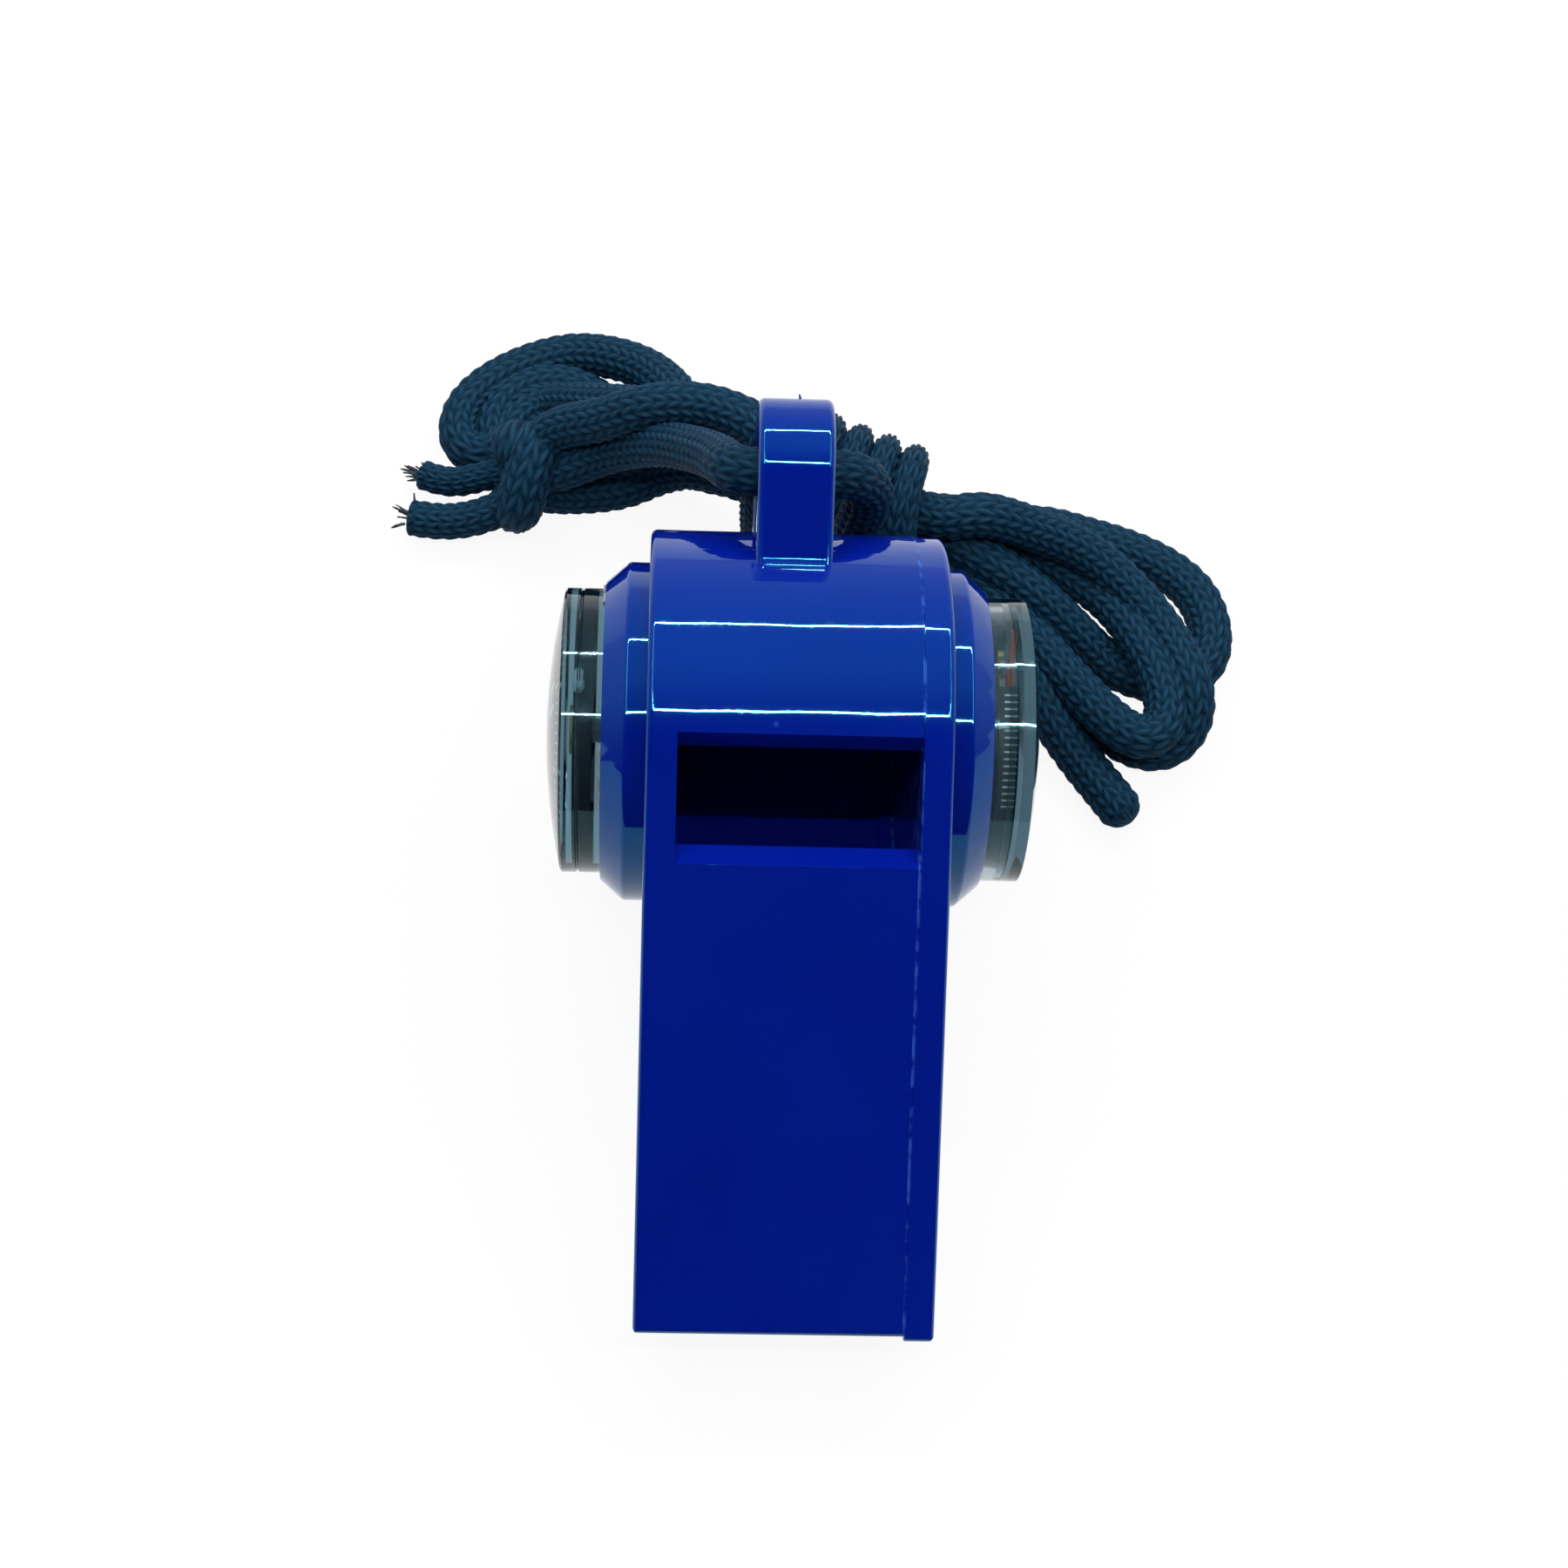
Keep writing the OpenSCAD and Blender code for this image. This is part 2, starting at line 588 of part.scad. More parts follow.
module thermometer_pointer() {
    color("#e0492a") in_cheek(1) rotate([pointer_dir, 0, 0]) across(pointer_low, pointer_low + pointer_t)
        difference() {
            union() {
                circle(hub_r + pointer_ring);
                polygon([[0, -pointer_w / 2], [pointer_l, -pointer_tip_w / 2],
                         [pointer_l, pointer_tip_w / 2], [0, pointer_w / 2]]);
                translate([-pointer_tail, -pointer_w / 2]) square([pointer_tail, pointer_w]);
            }
            circle(hub_r + fit_gap);
        }
}

// Frames along a path: each ring keeps the last one's turn, so the tube isn't twisted
function tangents(p) = [for (i = [0 : len(p) - 1]) unit(at(p, i + 1) - at(p, i - 1))];
function flatten_to(n, t) = unit(n - (n * t) * t);
function normals(t) = [
    for (i = 0, n = flatten_to(abs(t[0][2]) < 0.8 ? [0, 0, 1] : [1, 0, 0], t[0]); i < len(t);
         i = i + 1, n = i < len(t) ? flatten_to(n, t[i]) : n) n];

// A round cord along a path of points
module cord(path, sides) {
    t = tangents(path);
    n = normals(t);
    rings = len(path);
    points = [for (i = [0 : rings - 1], k = [0 : sides - 1])
        path[i] + cord_r * (cos(360 * k / sides) * n[i] + sin(360 * k / sides) * cross(t[i], n[i]))];
    walls = [for (i = [0 : rings - 2], k = [0 : sides - 1], h = [0, 1])
        let (a = i * sides + k, b = i * sides + (k + 1) % sides)
        h == 0 ? [a, a + sides, b] : [b, a + sides, b + sides]];
    ends = [for (k = [1 : sides - 2], h = [0, 1])
        let (z = (rings - 1) * sides) h == 0 ? [0, k, k + 1] : [z, z + k + 1, z + k]];
    polyhedron(points, concat(walls, ends));
}

module lanyard_lead() {
    lying() cord(curve(lead_route, 2), free_sides);
}

module lanyard_hank() {
    lying() cord(hank_path, form_sides);
    echo(hank_least_gap_mm = self_gap(hank_path));
}

// Overhand knot that joins the lanyard's two ends and the tie
module lanyard_knot() {
    lying() {
        translate(knot_front) sphere(knot_r);
        translate(knot_rear) sphere(knot_r);
    }
}

module lanyard_tails() {
    lying() for (route = tail_routes) cord(curve(route, 2), free_sides);
}

module tie_lead() {
    lying() cord(curve(tie_lead_route, 2), free_sides);
}

module hank_tie() {
    lying() cord(tie_path, form_sides);
    echo(tie_least_gap_mm = self_gap(tie_path), tie_to_hank_mm = gap_between(tie_path, hank_path));
}

module tie_tail() {
    lying() cord(curve(tie_tail_route, 2), free_sides);
}

whistle_body();
side_cover();
compass_cup();
compass_lens();
compass_card();
card_magnets();
card_bearing();
compass_pivot();
thermometer_cup();
thermometer_lens();
thermometer_dial();
thermometer_post();
pointer_hub();
bimetal_coil();
coil_anchor();
thermometer_pointer();
lanyard_lead();
lanyard_hank();
lanyard_knot();
lanyard_tails();
tie_lead();
hank_tie();
tie_tail();
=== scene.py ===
import json
import math
import random

import bpy
import numpy as np
from mathutils import Matrix, Vector


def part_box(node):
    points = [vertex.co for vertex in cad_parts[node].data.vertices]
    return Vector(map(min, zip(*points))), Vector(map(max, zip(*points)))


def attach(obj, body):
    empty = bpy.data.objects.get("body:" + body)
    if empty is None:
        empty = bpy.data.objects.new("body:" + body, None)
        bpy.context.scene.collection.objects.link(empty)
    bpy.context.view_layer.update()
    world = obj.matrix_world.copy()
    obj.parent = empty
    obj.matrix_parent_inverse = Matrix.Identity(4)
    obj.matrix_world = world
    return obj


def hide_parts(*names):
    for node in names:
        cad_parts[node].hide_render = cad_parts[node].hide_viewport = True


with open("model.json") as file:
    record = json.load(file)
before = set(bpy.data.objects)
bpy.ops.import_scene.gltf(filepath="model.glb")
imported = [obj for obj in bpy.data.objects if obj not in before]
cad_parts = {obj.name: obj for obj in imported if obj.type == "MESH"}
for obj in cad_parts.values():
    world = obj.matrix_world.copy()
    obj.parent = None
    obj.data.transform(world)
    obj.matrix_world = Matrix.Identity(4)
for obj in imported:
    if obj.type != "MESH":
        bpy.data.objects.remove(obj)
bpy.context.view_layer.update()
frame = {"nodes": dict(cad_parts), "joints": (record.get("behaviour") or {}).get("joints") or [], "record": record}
MM = 0.001


# Whistle body and side cover
# Two injection mouldings in glossy blue styrene: the body with its drum, mouthpiece and lanyard loop,
# and the flat cover that is glued over its right side along a visible seam.
BLUE = (0.0006, 0.0075, 0.235, 1)
BLUE_PALE = (0.0008, 0.0105, 0.27, 1)
BLUE_GLOSS = (0.13, 1, 1, 1)
SEAM_GLINT = (0.03, 0.09, 0.5, 1)
SCUFF = (0.02, 0.06, 0.42, 1)
SEAM_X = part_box("whistle_body")[1][0]
SEAM_WIDEST = 0.14 * MM
SEAM_FULL = 0.06 * MM
EDGE_SOFTENING = 0.1 * MM
WELD_GAP = 0.002 * MM
SINK_DEPTH = 0.06 * MM
GRAIN_DEPTH = 0.01 * MM


def new_material(name):
    """A material with one Principled shader, and its node tree."""
    material = bpy.data.materials.new(name)
    material.use_nodes = True
    tree = material.node_tree
    return material, tree, tree.nodes["Principled BSDF"]


def add(tree, kind, inputs=None, **settings):
    """A node with its settings, and its inputs set to values or linked from other sockets."""
    node = tree.nodes.new("ShaderNode" + kind)
    for key, value in settings.items():
        setattr(node, key, value)
    for key, value in (inputs or {}).items():
        if isinstance(value, bpy.types.NodeSocket):
            tree.links.new(value, node.inputs[key])
        else:
            node.inputs[key].default_value = value
    return node


def ramp(tree, factor, stops):
    """A colour ramp from a factor, with stops of (place, colour or grey)."""
    node = add(tree, "ValToRGB", {"Fac": factor})
    stops = [(place, c if isinstance(c, tuple) else (c, c, c, 1)) for place, c in stops]
    node.color_ramp.elements[0].position, node.color_ramp.elements[0].color = stops[0]
    node.color_ramp.elements[1].position, node.color_ramp.elements[1].color = stops[-1]
    for place, colour in stops[1:-1]:
        node.color_ramp.elements.new(place).color = colour
    return node.outputs["Color"]


def blue_plastic():
    """Glossy moulded styrene: faint flow marks, a painted highlight of lighter dots along the seam, a slightly
    uneven skin and fine handling marks.
    """
    material, tree, shader = new_material("blue_plastic")
    place = add(tree, "TexCoord").outputs["Object"]
    flow = add(tree, "TexNoise", {"Vector": place, "Scale": 90, "Detail": 3, "Roughness": 0.5})
    colour = ramp(tree, flow.outputs["Fac"], [(0.3, BLUE), (0.75, BLUE_PALE)])
    # Painted highlight: lighter blue dots along the seam stand in for the lamps' reflection on its rounded edges.
    side = add(tree, "SeparateXYZ", {0: place}).outputs["X"]
    off_seam = add(tree, "Math", {0: side, 1: SEAM_X}, operation="SUBTRACT").outputs[0]
    off_seam = add(tree, "Math", {0: off_seam}, operation="ABSOLUTE").outputs[0]
    near = add(tree, "MapRange", {0: off_seam, 1: SEAM_WIDEST, 2: SEAM_FULL}).outputs[0]
    glint_dots = add(tree, "TexNoise", {"Vector": place, "Scale": 700, "Detail": 3, "Roughness": 0.6})
    glint_dots = add(tree, "MapRange", {0: glint_dots.outputs["Fac"], 1: 0.45, 2: 0.6}).outputs[0]
    seam_glint = add(tree, "Math", {0: near, 1: glint_dots}, operation="MULTIPLY").outputs[0]
    colour = add(tree, "MixRGB", {0: seam_glint, 1: colour, 2: SEAM_GLINT}).outputs[0]
    spots = add(tree, "TexVoronoi", {"Vector": place, "Scale": 110}).outputs["Distance"]
    spots = add(tree, "MapRange", {0: spots, 1: 0.03, 2: 0.015}).outputs[0]
    colour = add(tree, "MixRGB", {0: spots, 1: colour, 2: SCUFF}).outputs[0]
    tree.links.new(colour, shader.inputs["Base Color"])
    marks = add(tree, "TexNoise", {"Vector": place, "Scale": 2600, "Detail": 4, "Roughness": 0.7})
    gloss = ramp(tree, marks.outputs["Fac"], [(0.45, 0.02), (0.85, 0.08)])
    tree.links.new(gloss, shader.inputs["Roughness"])
    sink = add(tree, "TexNoise", {"Vector": place, "Scale": 170, "Detail": 1})
    uneven = add(tree, "Bump", {"Height": sink.outputs["Fac"], "Strength": 0.75, "Distance": SINK_DEPTH})
    grain = add(tree, "Bump", {"Height": marks.outputs["Fac"], "Strength": 0.03, "Distance": GRAIN_DEPTH,
                               "Normal": uneven.outputs["Normal"]})
    tree.links.new(grain.outputs["Normal"], shader.inputs["Normal"])
    shader.inputs["Specular Tint"].default_value = BLUE_GLOSS
    shader.inputs["IOR"].default_value = 1.55
    return material


def finish_node(name, material, softening=0):
    """Gives a rigid node its material, edges that catch the light and an even shading between them."""
    node = frame["nodes"][name]
    node.data.materials.clear()
    node.data.materials.append(material)
    node.data.polygons.foreach_set("use_smooth", [True] * len(node.data.polygons))
    weld = node.modifiers.new("weld", "WELD")
    weld.merge_threshold = WELD_GAP
    if softening:
        flats = node.modifiers.new("flats", "DECIMATE")
        flats.decimate_type = "DISSOLVE"
        flats.angle_limit = math.radians(0.5)
        soft = node.modifiers.new("soft_edges", "BEVEL")
        soft.width = softening
        soft.segments = 2
        soft.limit_method = "ANGLE"
        soft.angle_limit = math.radians(40)
        soft.use_clamp_overlap = True
    split = node.modifiers.new("edges", "EDGE_SPLIT")
    split.split_angle = math.radians(35)
    even = node.modifiers.new("even", "WEIGHTED_NORMAL")
    even.keep_sharp = True
    even.weight = 100


blue = blue_plastic()
finish_node("whistle_body", blue, EDGE_SOFTENING)
finish_node("side_cover", blue, EDGE_SOFTENING)


# Loop flash
# A whisker of the same blue styrene, pressed out at the parting line of the mould behind the loop's top and
# left there: thin, flat and leaning to the rear.
FLASH_L = 0.9 * MM
FLASH_R = 0.22 * MM
FLASH_TIP_R = 0.05 * MM
FLASH_FLATNESS = 0.35
FLASH_CROOK = 0.04 * MM
flash_place = (-0.1 * MM, 30.1 * MM, 27.05 * MM)
flash_lean = (math.radians(-66), math.radians(-30), 0)
bpy.ops.object.select_all(action="DESELECT")
bpy.ops.mesh.primitive_cone_add(vertices=8, radius1=FLASH_R, radius2=FLASH_TIP_R, depth=FLASH_L,
                                location=flash_place, rotation=flash_lean)
flash = bpy.context.object
flash.name = "loop_flash"
flash.scale = (1, FLASH_FLATNESS, 1)
bpy.ops.object.transform_apply()
bpy.ops.object.mode_set(mode="EDIT")
bpy.ops.mesh.select_all(action="SELECT")
bpy.ops.mesh.subdivide(number_cuts=2)
bpy.ops.transform.vertex_random(offset=FLASH_CROOK, seed=3)
bpy.ops.object.mode_set(mode="OBJECT")
bpy.ops.object.shade_smooth_by_angle(angle=math.radians(50))
flash.data.materials.append(blue)
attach(flash, "whistle")


# Compass works
# A black card with white points of the compass floats on a brass cup on a steel point, and carries two
# bar magnets. The card is printed, the cup turned, the point ground.
INK = (0.72, 0.74, 0.72)
INK_LIFT = 0.02 * MM
drum = Vector(next(j["pos_m"] for j in frame["joints"] if j["name"] == "card_turn"))


def grained(name, colour, darkest, scale, detail, spread=0.2):
    """A material whose colour goes down to a darkest share of itself in a fine grain, with that grain."""
    material, tree, shader = new_material(name)
    place = add(tree, "TexCoord").outputs["Object"]
    grain = add(tree, "TexNoise", {"Vector": place, "Scale": scale, "Detail": detail}).outputs["Fac"]
    dark = tuple(darkest * c for c in colour) + (1,)
    shade = ramp(tree, grain, [(0.5 - spread, dark), (0.5 + spread, colour + (1,))])
    tree.links.new(shade, shader.inputs["Base Color"])
    return material, tree, shader, grain


def add_bump(tree, shader, height, strength, depth):
    """Roughens a surface by a pattern of heights."""
    bump = add(tree, "Bump", {"Height": height, "Strength": strength, "Distance": depth})
    tree.links.new(bump.outputs["Normal"], shader.inputs["Normal"])


def metal(name, colour, roughness):
    """Turned or rolled metal with fine tool marks."""
    material, tree, shader, marks = grained(name, colour, 0.7, 4000, 3)
    add_bump(tree, shader, marks, 0.2, GRAIN_DEPTH)
    shader.inputs["Metallic"].default_value = 1
    shader.inputs["Roughness"].default_value = roughness
    return material


def printed(name, colour, roughness=0.5):
    """A painted or printed surface with a fine grain."""
    material, tree, shader, grain = grained(name, colour, 0.8, 3000, 4)
    add_bump(tree, shader, grain, 0.15, GRAIN_DEPTH)
    shader.inputs["Roughness"].default_value = roughness
    return material


def on_face(x, radius, angle):
    """A place on a dial: at a height along the drum's axis, a radius, and an angle from the rear, up."""
    return Matrix.Translation((x, drum.y, drum.z)) @ Matrix.Rotation(angle, 4, "X") \
        @ Matrix.Translation((0, radius, 0))


LAID_FLAT = Matrix.Rotation(math.pi / 2, 4, "Y")
LAID_ROUND = Matrix.Rotation(math.pi / 2, 4, "X")


def ink_ticks(name, x, radius, lay, size, start, count, sweep):
    """Printed ticks on a dial or a sleeve: one thin mark, spun in copies about the drum's axis. The spin
    turns against the right-hand rule, so its angle is negative."""
    bpy.ops.object.select_all(action="DESELECT")
    bpy.ops.mesh.primitive_plane_add(size=1)
    ticks = bpy.context.object
    ticks.name = name
    ticks.matrix_world = on_face(x, radius, start) @ lay @ Matrix.Diagonal((*size, 1, 1))
    bpy.ops.object.transform_apply()
    bpy.ops.object.mode_set(mode="EDIT")
    bpy.ops.mesh.select_all(action="SELECT")
    bpy.ops.mesh.spin(steps=count - 1, dupli=True, angle=-sweep, center=(x, drum.y, drum.z), axis=(1, 0, 0))
    bpy.ops.object.mode_set(mode="OBJECT")
    return ticks


def ink_words(x, radius, size, words):
    """Printed words on a dial, each upright at its angle: (word, angle)."""
    face = 1 if x > 0 else -1
    upright = Matrix.Rotation(face * math.pi / 2, 4, "Z") @ Matrix.Rotation(math.pi / 2, 4, "X")
    made = []
    for word, angle in words:
        bpy.ops.object.select_all(action="DESELECT")
        bpy.ops.object.text_add()
        text = bpy.context.object
        text.data.body = word
        text.data.size = size
        text.data.align_x, text.data.align_y = "CENTER", "CENTER"
        text.data.resolution_u = 4
        bpy.ops.object.convert(target="MESH")
        text = bpy.context.object
        place = on_face(x, radius, angle).to_translation()
        text.matrix_world = Matrix.Translation(place) @ upright
        bpy.ops.object.transform_apply()
        made.append(text)
    return made


def ink_print(name, marks, ink, body):
    """Joins printed marks into one piece that moves with a body."""
    bpy.ops.object.select_all(action="DESELECT")
    for mark in marks:
        mark.select_set(True)
    bpy.context.view_layer.objects.active = marks[0]
    bpy.ops.object.join()
    piece = bpy.context.object
    piece.name = name
    bpy.ops.object.mode_set(mode="EDIT")
    bpy.ops.mesh.select_all(action="SELECT")
    bpy.ops.mesh.normals_make_consistent(inside=False)
    bpy.ops.object.mode_set(mode="OBJECT")
    piece.data.materials.clear()
    piece.data.materials.append(ink)
    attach(piece, body)


black_card = printed("black_card", (0.008, 0.012, 0.018))
white_ink = printed("white_ink", INK)
steel = metal("steel", (0.62, 0.63, 0.64), 0.3)
brass = metal("brass", (0.75, 0.52, 0.2), 0.32)
finish_node("compass_card", black_card)
finish_node("card_magnets", steel)
finish_node("card_bearing", brass)
finish_node("compass_pivot", steel)
card_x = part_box("compass_card")[0][0] - INK_LIFT
FINE_TICK = (0.12 * MM, 0.6 * MM)
POINT_TICK = (0.3 * MM, 1.2 * MM)
LETTER = 3 * MM
card_marks = [
    ink_ticks("card_degrees", card_x, 7.6 * MM, LAID_FLAT, FINE_TICK, 0, 72, math.radians(355)),
    ink_ticks("card_points", card_x, 7.3 * MM, LAID_FLAT, POINT_TICK, 0, 8, math.radians(315))]
card_marks += ink_words(card_x, 4.9 * MM, LETTER, [
    ("N", math.pi / 2), ("W", 0), ("S", -math.pi / 2), ("E", math.pi)])
ink_print("card_print", card_marks, white_ink, "card")


# Compass capsule
# A clear moulded cup with a domed lens cemented on its rim and filled with liquid, so that it looks solid.
# It is glued into the bezel of the left side.
CAPSULE_R = 10 * MM
CUP_H = 4.6 * MM
RIM_H = 5.8 * MM
DOME_RISE = 1.2 * MM
JOINT = 0.12 * MM
FACE_TO = 9.3
WALL_FROM = 9.9
CLEAR_GLOSS = (0.4, 0.85, 1, 1)
DOME_STEPS = (0.985, 0.94, 0.86, 0.76, 0.64, 0.5, 0.35, 0.18, 0.01)
side_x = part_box("compass_cup")[1][0]


def clear_plastic(name, wall_shade_tint, face_tint):
    """Clear styrene with fine scuffs, tinted: its face takes one tint up to a radius in millimetres, and its round
    wall a darker one, which is painted shade for the dark things and shade seen through it."""
    material, tree, shader = new_material(name)
    place = add(tree, "TexCoord").outputs["Object"]
    middle = add(tree, "VectorMath", {0: place, 1: tuple(drum)}, operation="SUBTRACT")
    flat = add(tree, "VectorMath", {0: middle.outputs[0], 1: (0, 1 / MM, 1 / MM)}, operation="MULTIPLY")
    radius = add(tree, "VectorMath", {0: flat.outputs[0]}, operation="LENGTH").outputs["Value"]
    outer = add(tree, "MapRange", {0: radius, 1: FACE_TO, 2: WALL_FROM}).outputs[0]
    # Painted shade: the tint darkens from the face out to the round wall.
    tint = ramp(tree, outer, [(0, face_tint), (1, wall_shade_tint)])
    tree.links.new(tint, shader.inputs["Base Color"])
    scuff = add(tree, "TexNoise", {"Vector": place, "Scale": 900, "Detail": 6, "Roughness": 0.75})
    gloss = ramp(tree, scuff.outputs["Fac"], [(0.45, 0.02), (0.85, 0.2)])
    tree.links.new(gloss, shader.inputs["Roughness"])
    shader.inputs["Transmission Weight"].default_value = 1
    shader.inputs["IOR"].default_value = 1.46
    shader.inputs["Specular Tint"].default_value = CLEAR_GLOSS
    return material


def turned_piece(name, profile, x, way, material):
    """A solid turned about the drum's axis: a disc drawn out through steps of (radius, height)."""
    bpy.ops.object.select_all(action="DESELECT")
    bpy.ops.mesh.primitive_circle_add(vertices=128, radius=profile[0][0], fill_type="NGON",
                                      location=(x + way * profile[0][1], drum.y, drum.z),
                                      rotation=(0, math.pi / 2, 0))
    piece = bpy.context.object
    piece.name = name
    bpy.ops.object.transform_apply()
    bpy.ops.object.mode_set(mode="EDIT")
    bpy.ops.mesh.select_all(action="SELECT")
    for (r0, h0), (r1, h1) in zip(profile, profile[1:]):
        bpy.ops.mesh.extrude_region_move(TRANSFORM_OT_translate={"value": (way * (h1 - h0), 0, 0)})
        bpy.ops.transform.resize(value=(1, r1 / r0, r1 / r0), center_override=(x, drum.y, drum.z))
    bpy.ops.mesh.select_all(action="SELECT")
    bpy.ops.mesh.normals_make_consistent(inside=False)
    bpy.ops.object.mode_set(mode="OBJECT")
    bpy.ops.object.shade_smooth_by_angle(angle=math.radians(30))
    piece.data.materials.append(material)
    return piece


dome_r = (CAPSULE_R ** 2 + DOME_RISE ** 2) / (2 * DOME_RISE)
dome = [(CAPSULE_R * s, RIM_H + DOME_RISE - dome_r + math.sqrt(dome_r ** 2 - (CAPSULE_R * s) ** 2))
        for s in DOME_STEPS]
capsule_profile = [(CAPSULE_R - JOINT, 0), (CAPSULE_R, JOINT), (CAPSULE_R, CUP_H - JOINT),
                   (CAPSULE_R - JOINT, CUP_H - JOINT / 4), (CAPSULE_R - JOINT, CUP_H + JOINT / 4),
                   (CAPSULE_R, CUP_H + JOINT), (CAPSULE_R, RIM_H - JOINT)] + dome
# The first, darker tint is painted shade on the capsule's round wall.
clear_left = clear_plastic("clear_filled", (0.1, 0.2, 0.26, 1), (0.5, 0.66, 0.71, 1))
capsule = turned_piece("compass_capsule", capsule_profile, side_x, -1, clear_left)
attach(capsule, "whistle")
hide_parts("compass_cup", "compass_lens")


# Compass bubble
# A bubble of air that is left in the liquid and rises to the highest place under the lens: two lobes,
# pinched between, with a skin that looks cloudy.
BUBBLE_R = 0.8 * MM
BUBBLE_OUT = 8.95 * MM
BUBBLE_WAIST = 0.3 * BUBBLE_R
bubble_place = on_face(side_x - CUP_H, BUBBLE_OUT, math.radians(92)).to_translation()
bubble_waist_y = bubble_place.y + 0.15 * BUBBLE_R


def pick(piece, test):
    """Opens a piece in edit mode with only the vertices selected whose place passes a test."""
    bpy.ops.object.mode_set(mode="EDIT")
    bpy.ops.mesh.select_mode(type="VERT")
    bpy.ops.mesh.select_all(action="DESELECT")
    bpy.ops.object.mode_set(mode="OBJECT")
    for vertex in piece.data.vertices:
        vertex.select = bool(test(vertex.co))
    bpy.ops.object.mode_set(mode="EDIT")


def cloudy(name, colour, clear_share):
    """A cloudy clear stuff, such as glue, that lets a share of the light through."""
    material, tree, shader, cloud = grained(name, colour, 0.75, 1500, 3, spread=0.15)
    gloss = ramp(tree, cloud, [(0.35, 0.08), (0.65, 0.2)])
    tree.links.new(gloss, shader.inputs["Roughness"])
    shader.inputs["Transmission Weight"].default_value = clear_share
    return material


bpy.ops.object.select_all(action="DESELECT")
bpy.ops.mesh.primitive_uv_sphere_add(segments=32, ring_count=24, radius=BUBBLE_R, location=bubble_place)
bubble = bpy.context.object
bubble.name = "compass_bubble"
bubble.scale = (0.6, 1.15, 0.75)
bpy.ops.object.transform_apply()
pick(bubble, lambda v: abs(v.y - bubble_waist_y) < BUBBLE_WAIST)
bpy.ops.transform.resize(value=(0.72, 1, 0.8), center_override=tuple(bubble_place))
bpy.ops.mesh.select_all(action="SELECT")
bpy.ops.mesh.vertices_smooth(factor=0.5, repeat=2)
bpy.ops.object.mode_set(mode="OBJECT")
bpy.ops.object.shade_smooth_by_angle(angle=math.radians(80))
bubble.data.materials.append(cloudy("bubble_skin", (0.85, 0.9, 0.92), 0.15))
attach(bubble, "whistle")


# Compass glue
# Two beads of clear glue, squeezed out between the capsule and its bezel when it was pushed in, and set
# there as lumpy runs along the bezel's rim.
BEAD_R = 0.24 * MM
BEAD_OUT = CAPSULE_R + 0.1 * MM
BEAD_LUMPS = 0.2 * MM
BEZEL_H = 3 * MM
clear_glue = cloudy("clear_glue", (0.55, 0.63, 0.68), 0.5)


def glue_bead(name, x, start, sweep):
    """A run of glue round the capsule: a small ring, spun about the drum's axis and made lumpy."""
    bpy.ops.object.select_all(action="DESELECT")
    bpy.ops.mesh.primitive_circle_add(vertices=10, radius=BEAD_R)
    bead = bpy.context.object
    bead.name = name
    bead.matrix_world = on_face(x, BEAD_OUT, start)
    bpy.ops.object.transform_apply()
    bpy.ops.object.mode_set(mode="EDIT")
    bpy.ops.mesh.select_all(action="SELECT")
    bpy.ops.mesh.spin(steps=40, angle=-sweep, center=(x, drum.y, drum.z), axis=(1, 0, 0))
    bpy.ops.mesh.select_all(action="SELECT")
    bpy.ops.mesh.fill_holes(sides=0)
    bpy.ops.transform.vertex_random(offset=BEAD_LUMPS, seed=7)
    bpy.ops.mesh.vertices_smooth(factor=0.5, repeat=4)
    bpy.ops.mesh.normals_make_consistent(inside=False)
    bpy.ops.object.mode_set(mode="OBJECT")
    bpy.ops.object.shade_smooth_by_angle(angle=math.radians(60))
    bead.data.materials.append(clear_glue)
    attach(bead, "whistle")


glue_bead("compass_glue_rear", side_x - BEZEL_H, math.radians(14), math.radians(40))
glue_bead("compass_glue_front", side_x - BEZEL_H, math.radians(118), math.radians(26))


# Thermometer works
# A bimetal coil held by a pin on a black dial turns a red pointer, whose hub runs on a brass post. The
# dial is printed with degrees, cold at the left and warm at the right.
dial_black = printed("dial_black", (0.012, 0.014, 0.018))
bimetal = metal("bimetal", (0.55, 0.53, 0.47), 0.35)
pointer_red = printed("pointer_red", (0.9, 0.12, 0.03), 0.4)
finish_node("thermometer_dial", dial_black)
finish_node("thermometer_post", brass)
finish_node("pointer_hub", brass)
finish_node("bimetal_coil", bimetal)
finish_node("coil_anchor", brass)
finish_node("thermometer_pointer", pointer_red)


def pointer_rib(name, length, width, height, direction):
    """A raised rib along the pointer that stiffens it: a block drawn to a point and rounded."""
    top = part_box("thermometer_pointer")[1][0]
    bpy.ops.object.select_all(action="DESELECT")
    bpy.ops.mesh.primitive_cube_add(size=1)
    rib = bpy.context.object
    rib.name = name
    inner, outer = length
    rib.matrix_world = on_face(top + height / 2, (inner + outer) / 2, direction) \
        @ Matrix.Diagonal((height, outer - inner, width, 1))
    tip = on_face(top, outer, direction).to_translation()
    bpy.ops.object.transform_apply()
    pick(rib, lambda v: (v - tip).length < width)
    bpy.ops.transform.resize(value=(0.6, 0.5, 0.5), center_override=tuple(tip))
    bpy.ops.mesh.select_all(action="SELECT")
    bpy.ops.mesh.bevel(offset=RIB_ROUNDING, segments=2, affect="EDGES")
    bpy.ops.object.mode_set(mode="OBJECT")
    bpy.ops.object.shade_smooth_by_angle(angle=math.radians(50))
    rib.data.materials.append(pointer_red)
    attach(rib, "pointer")


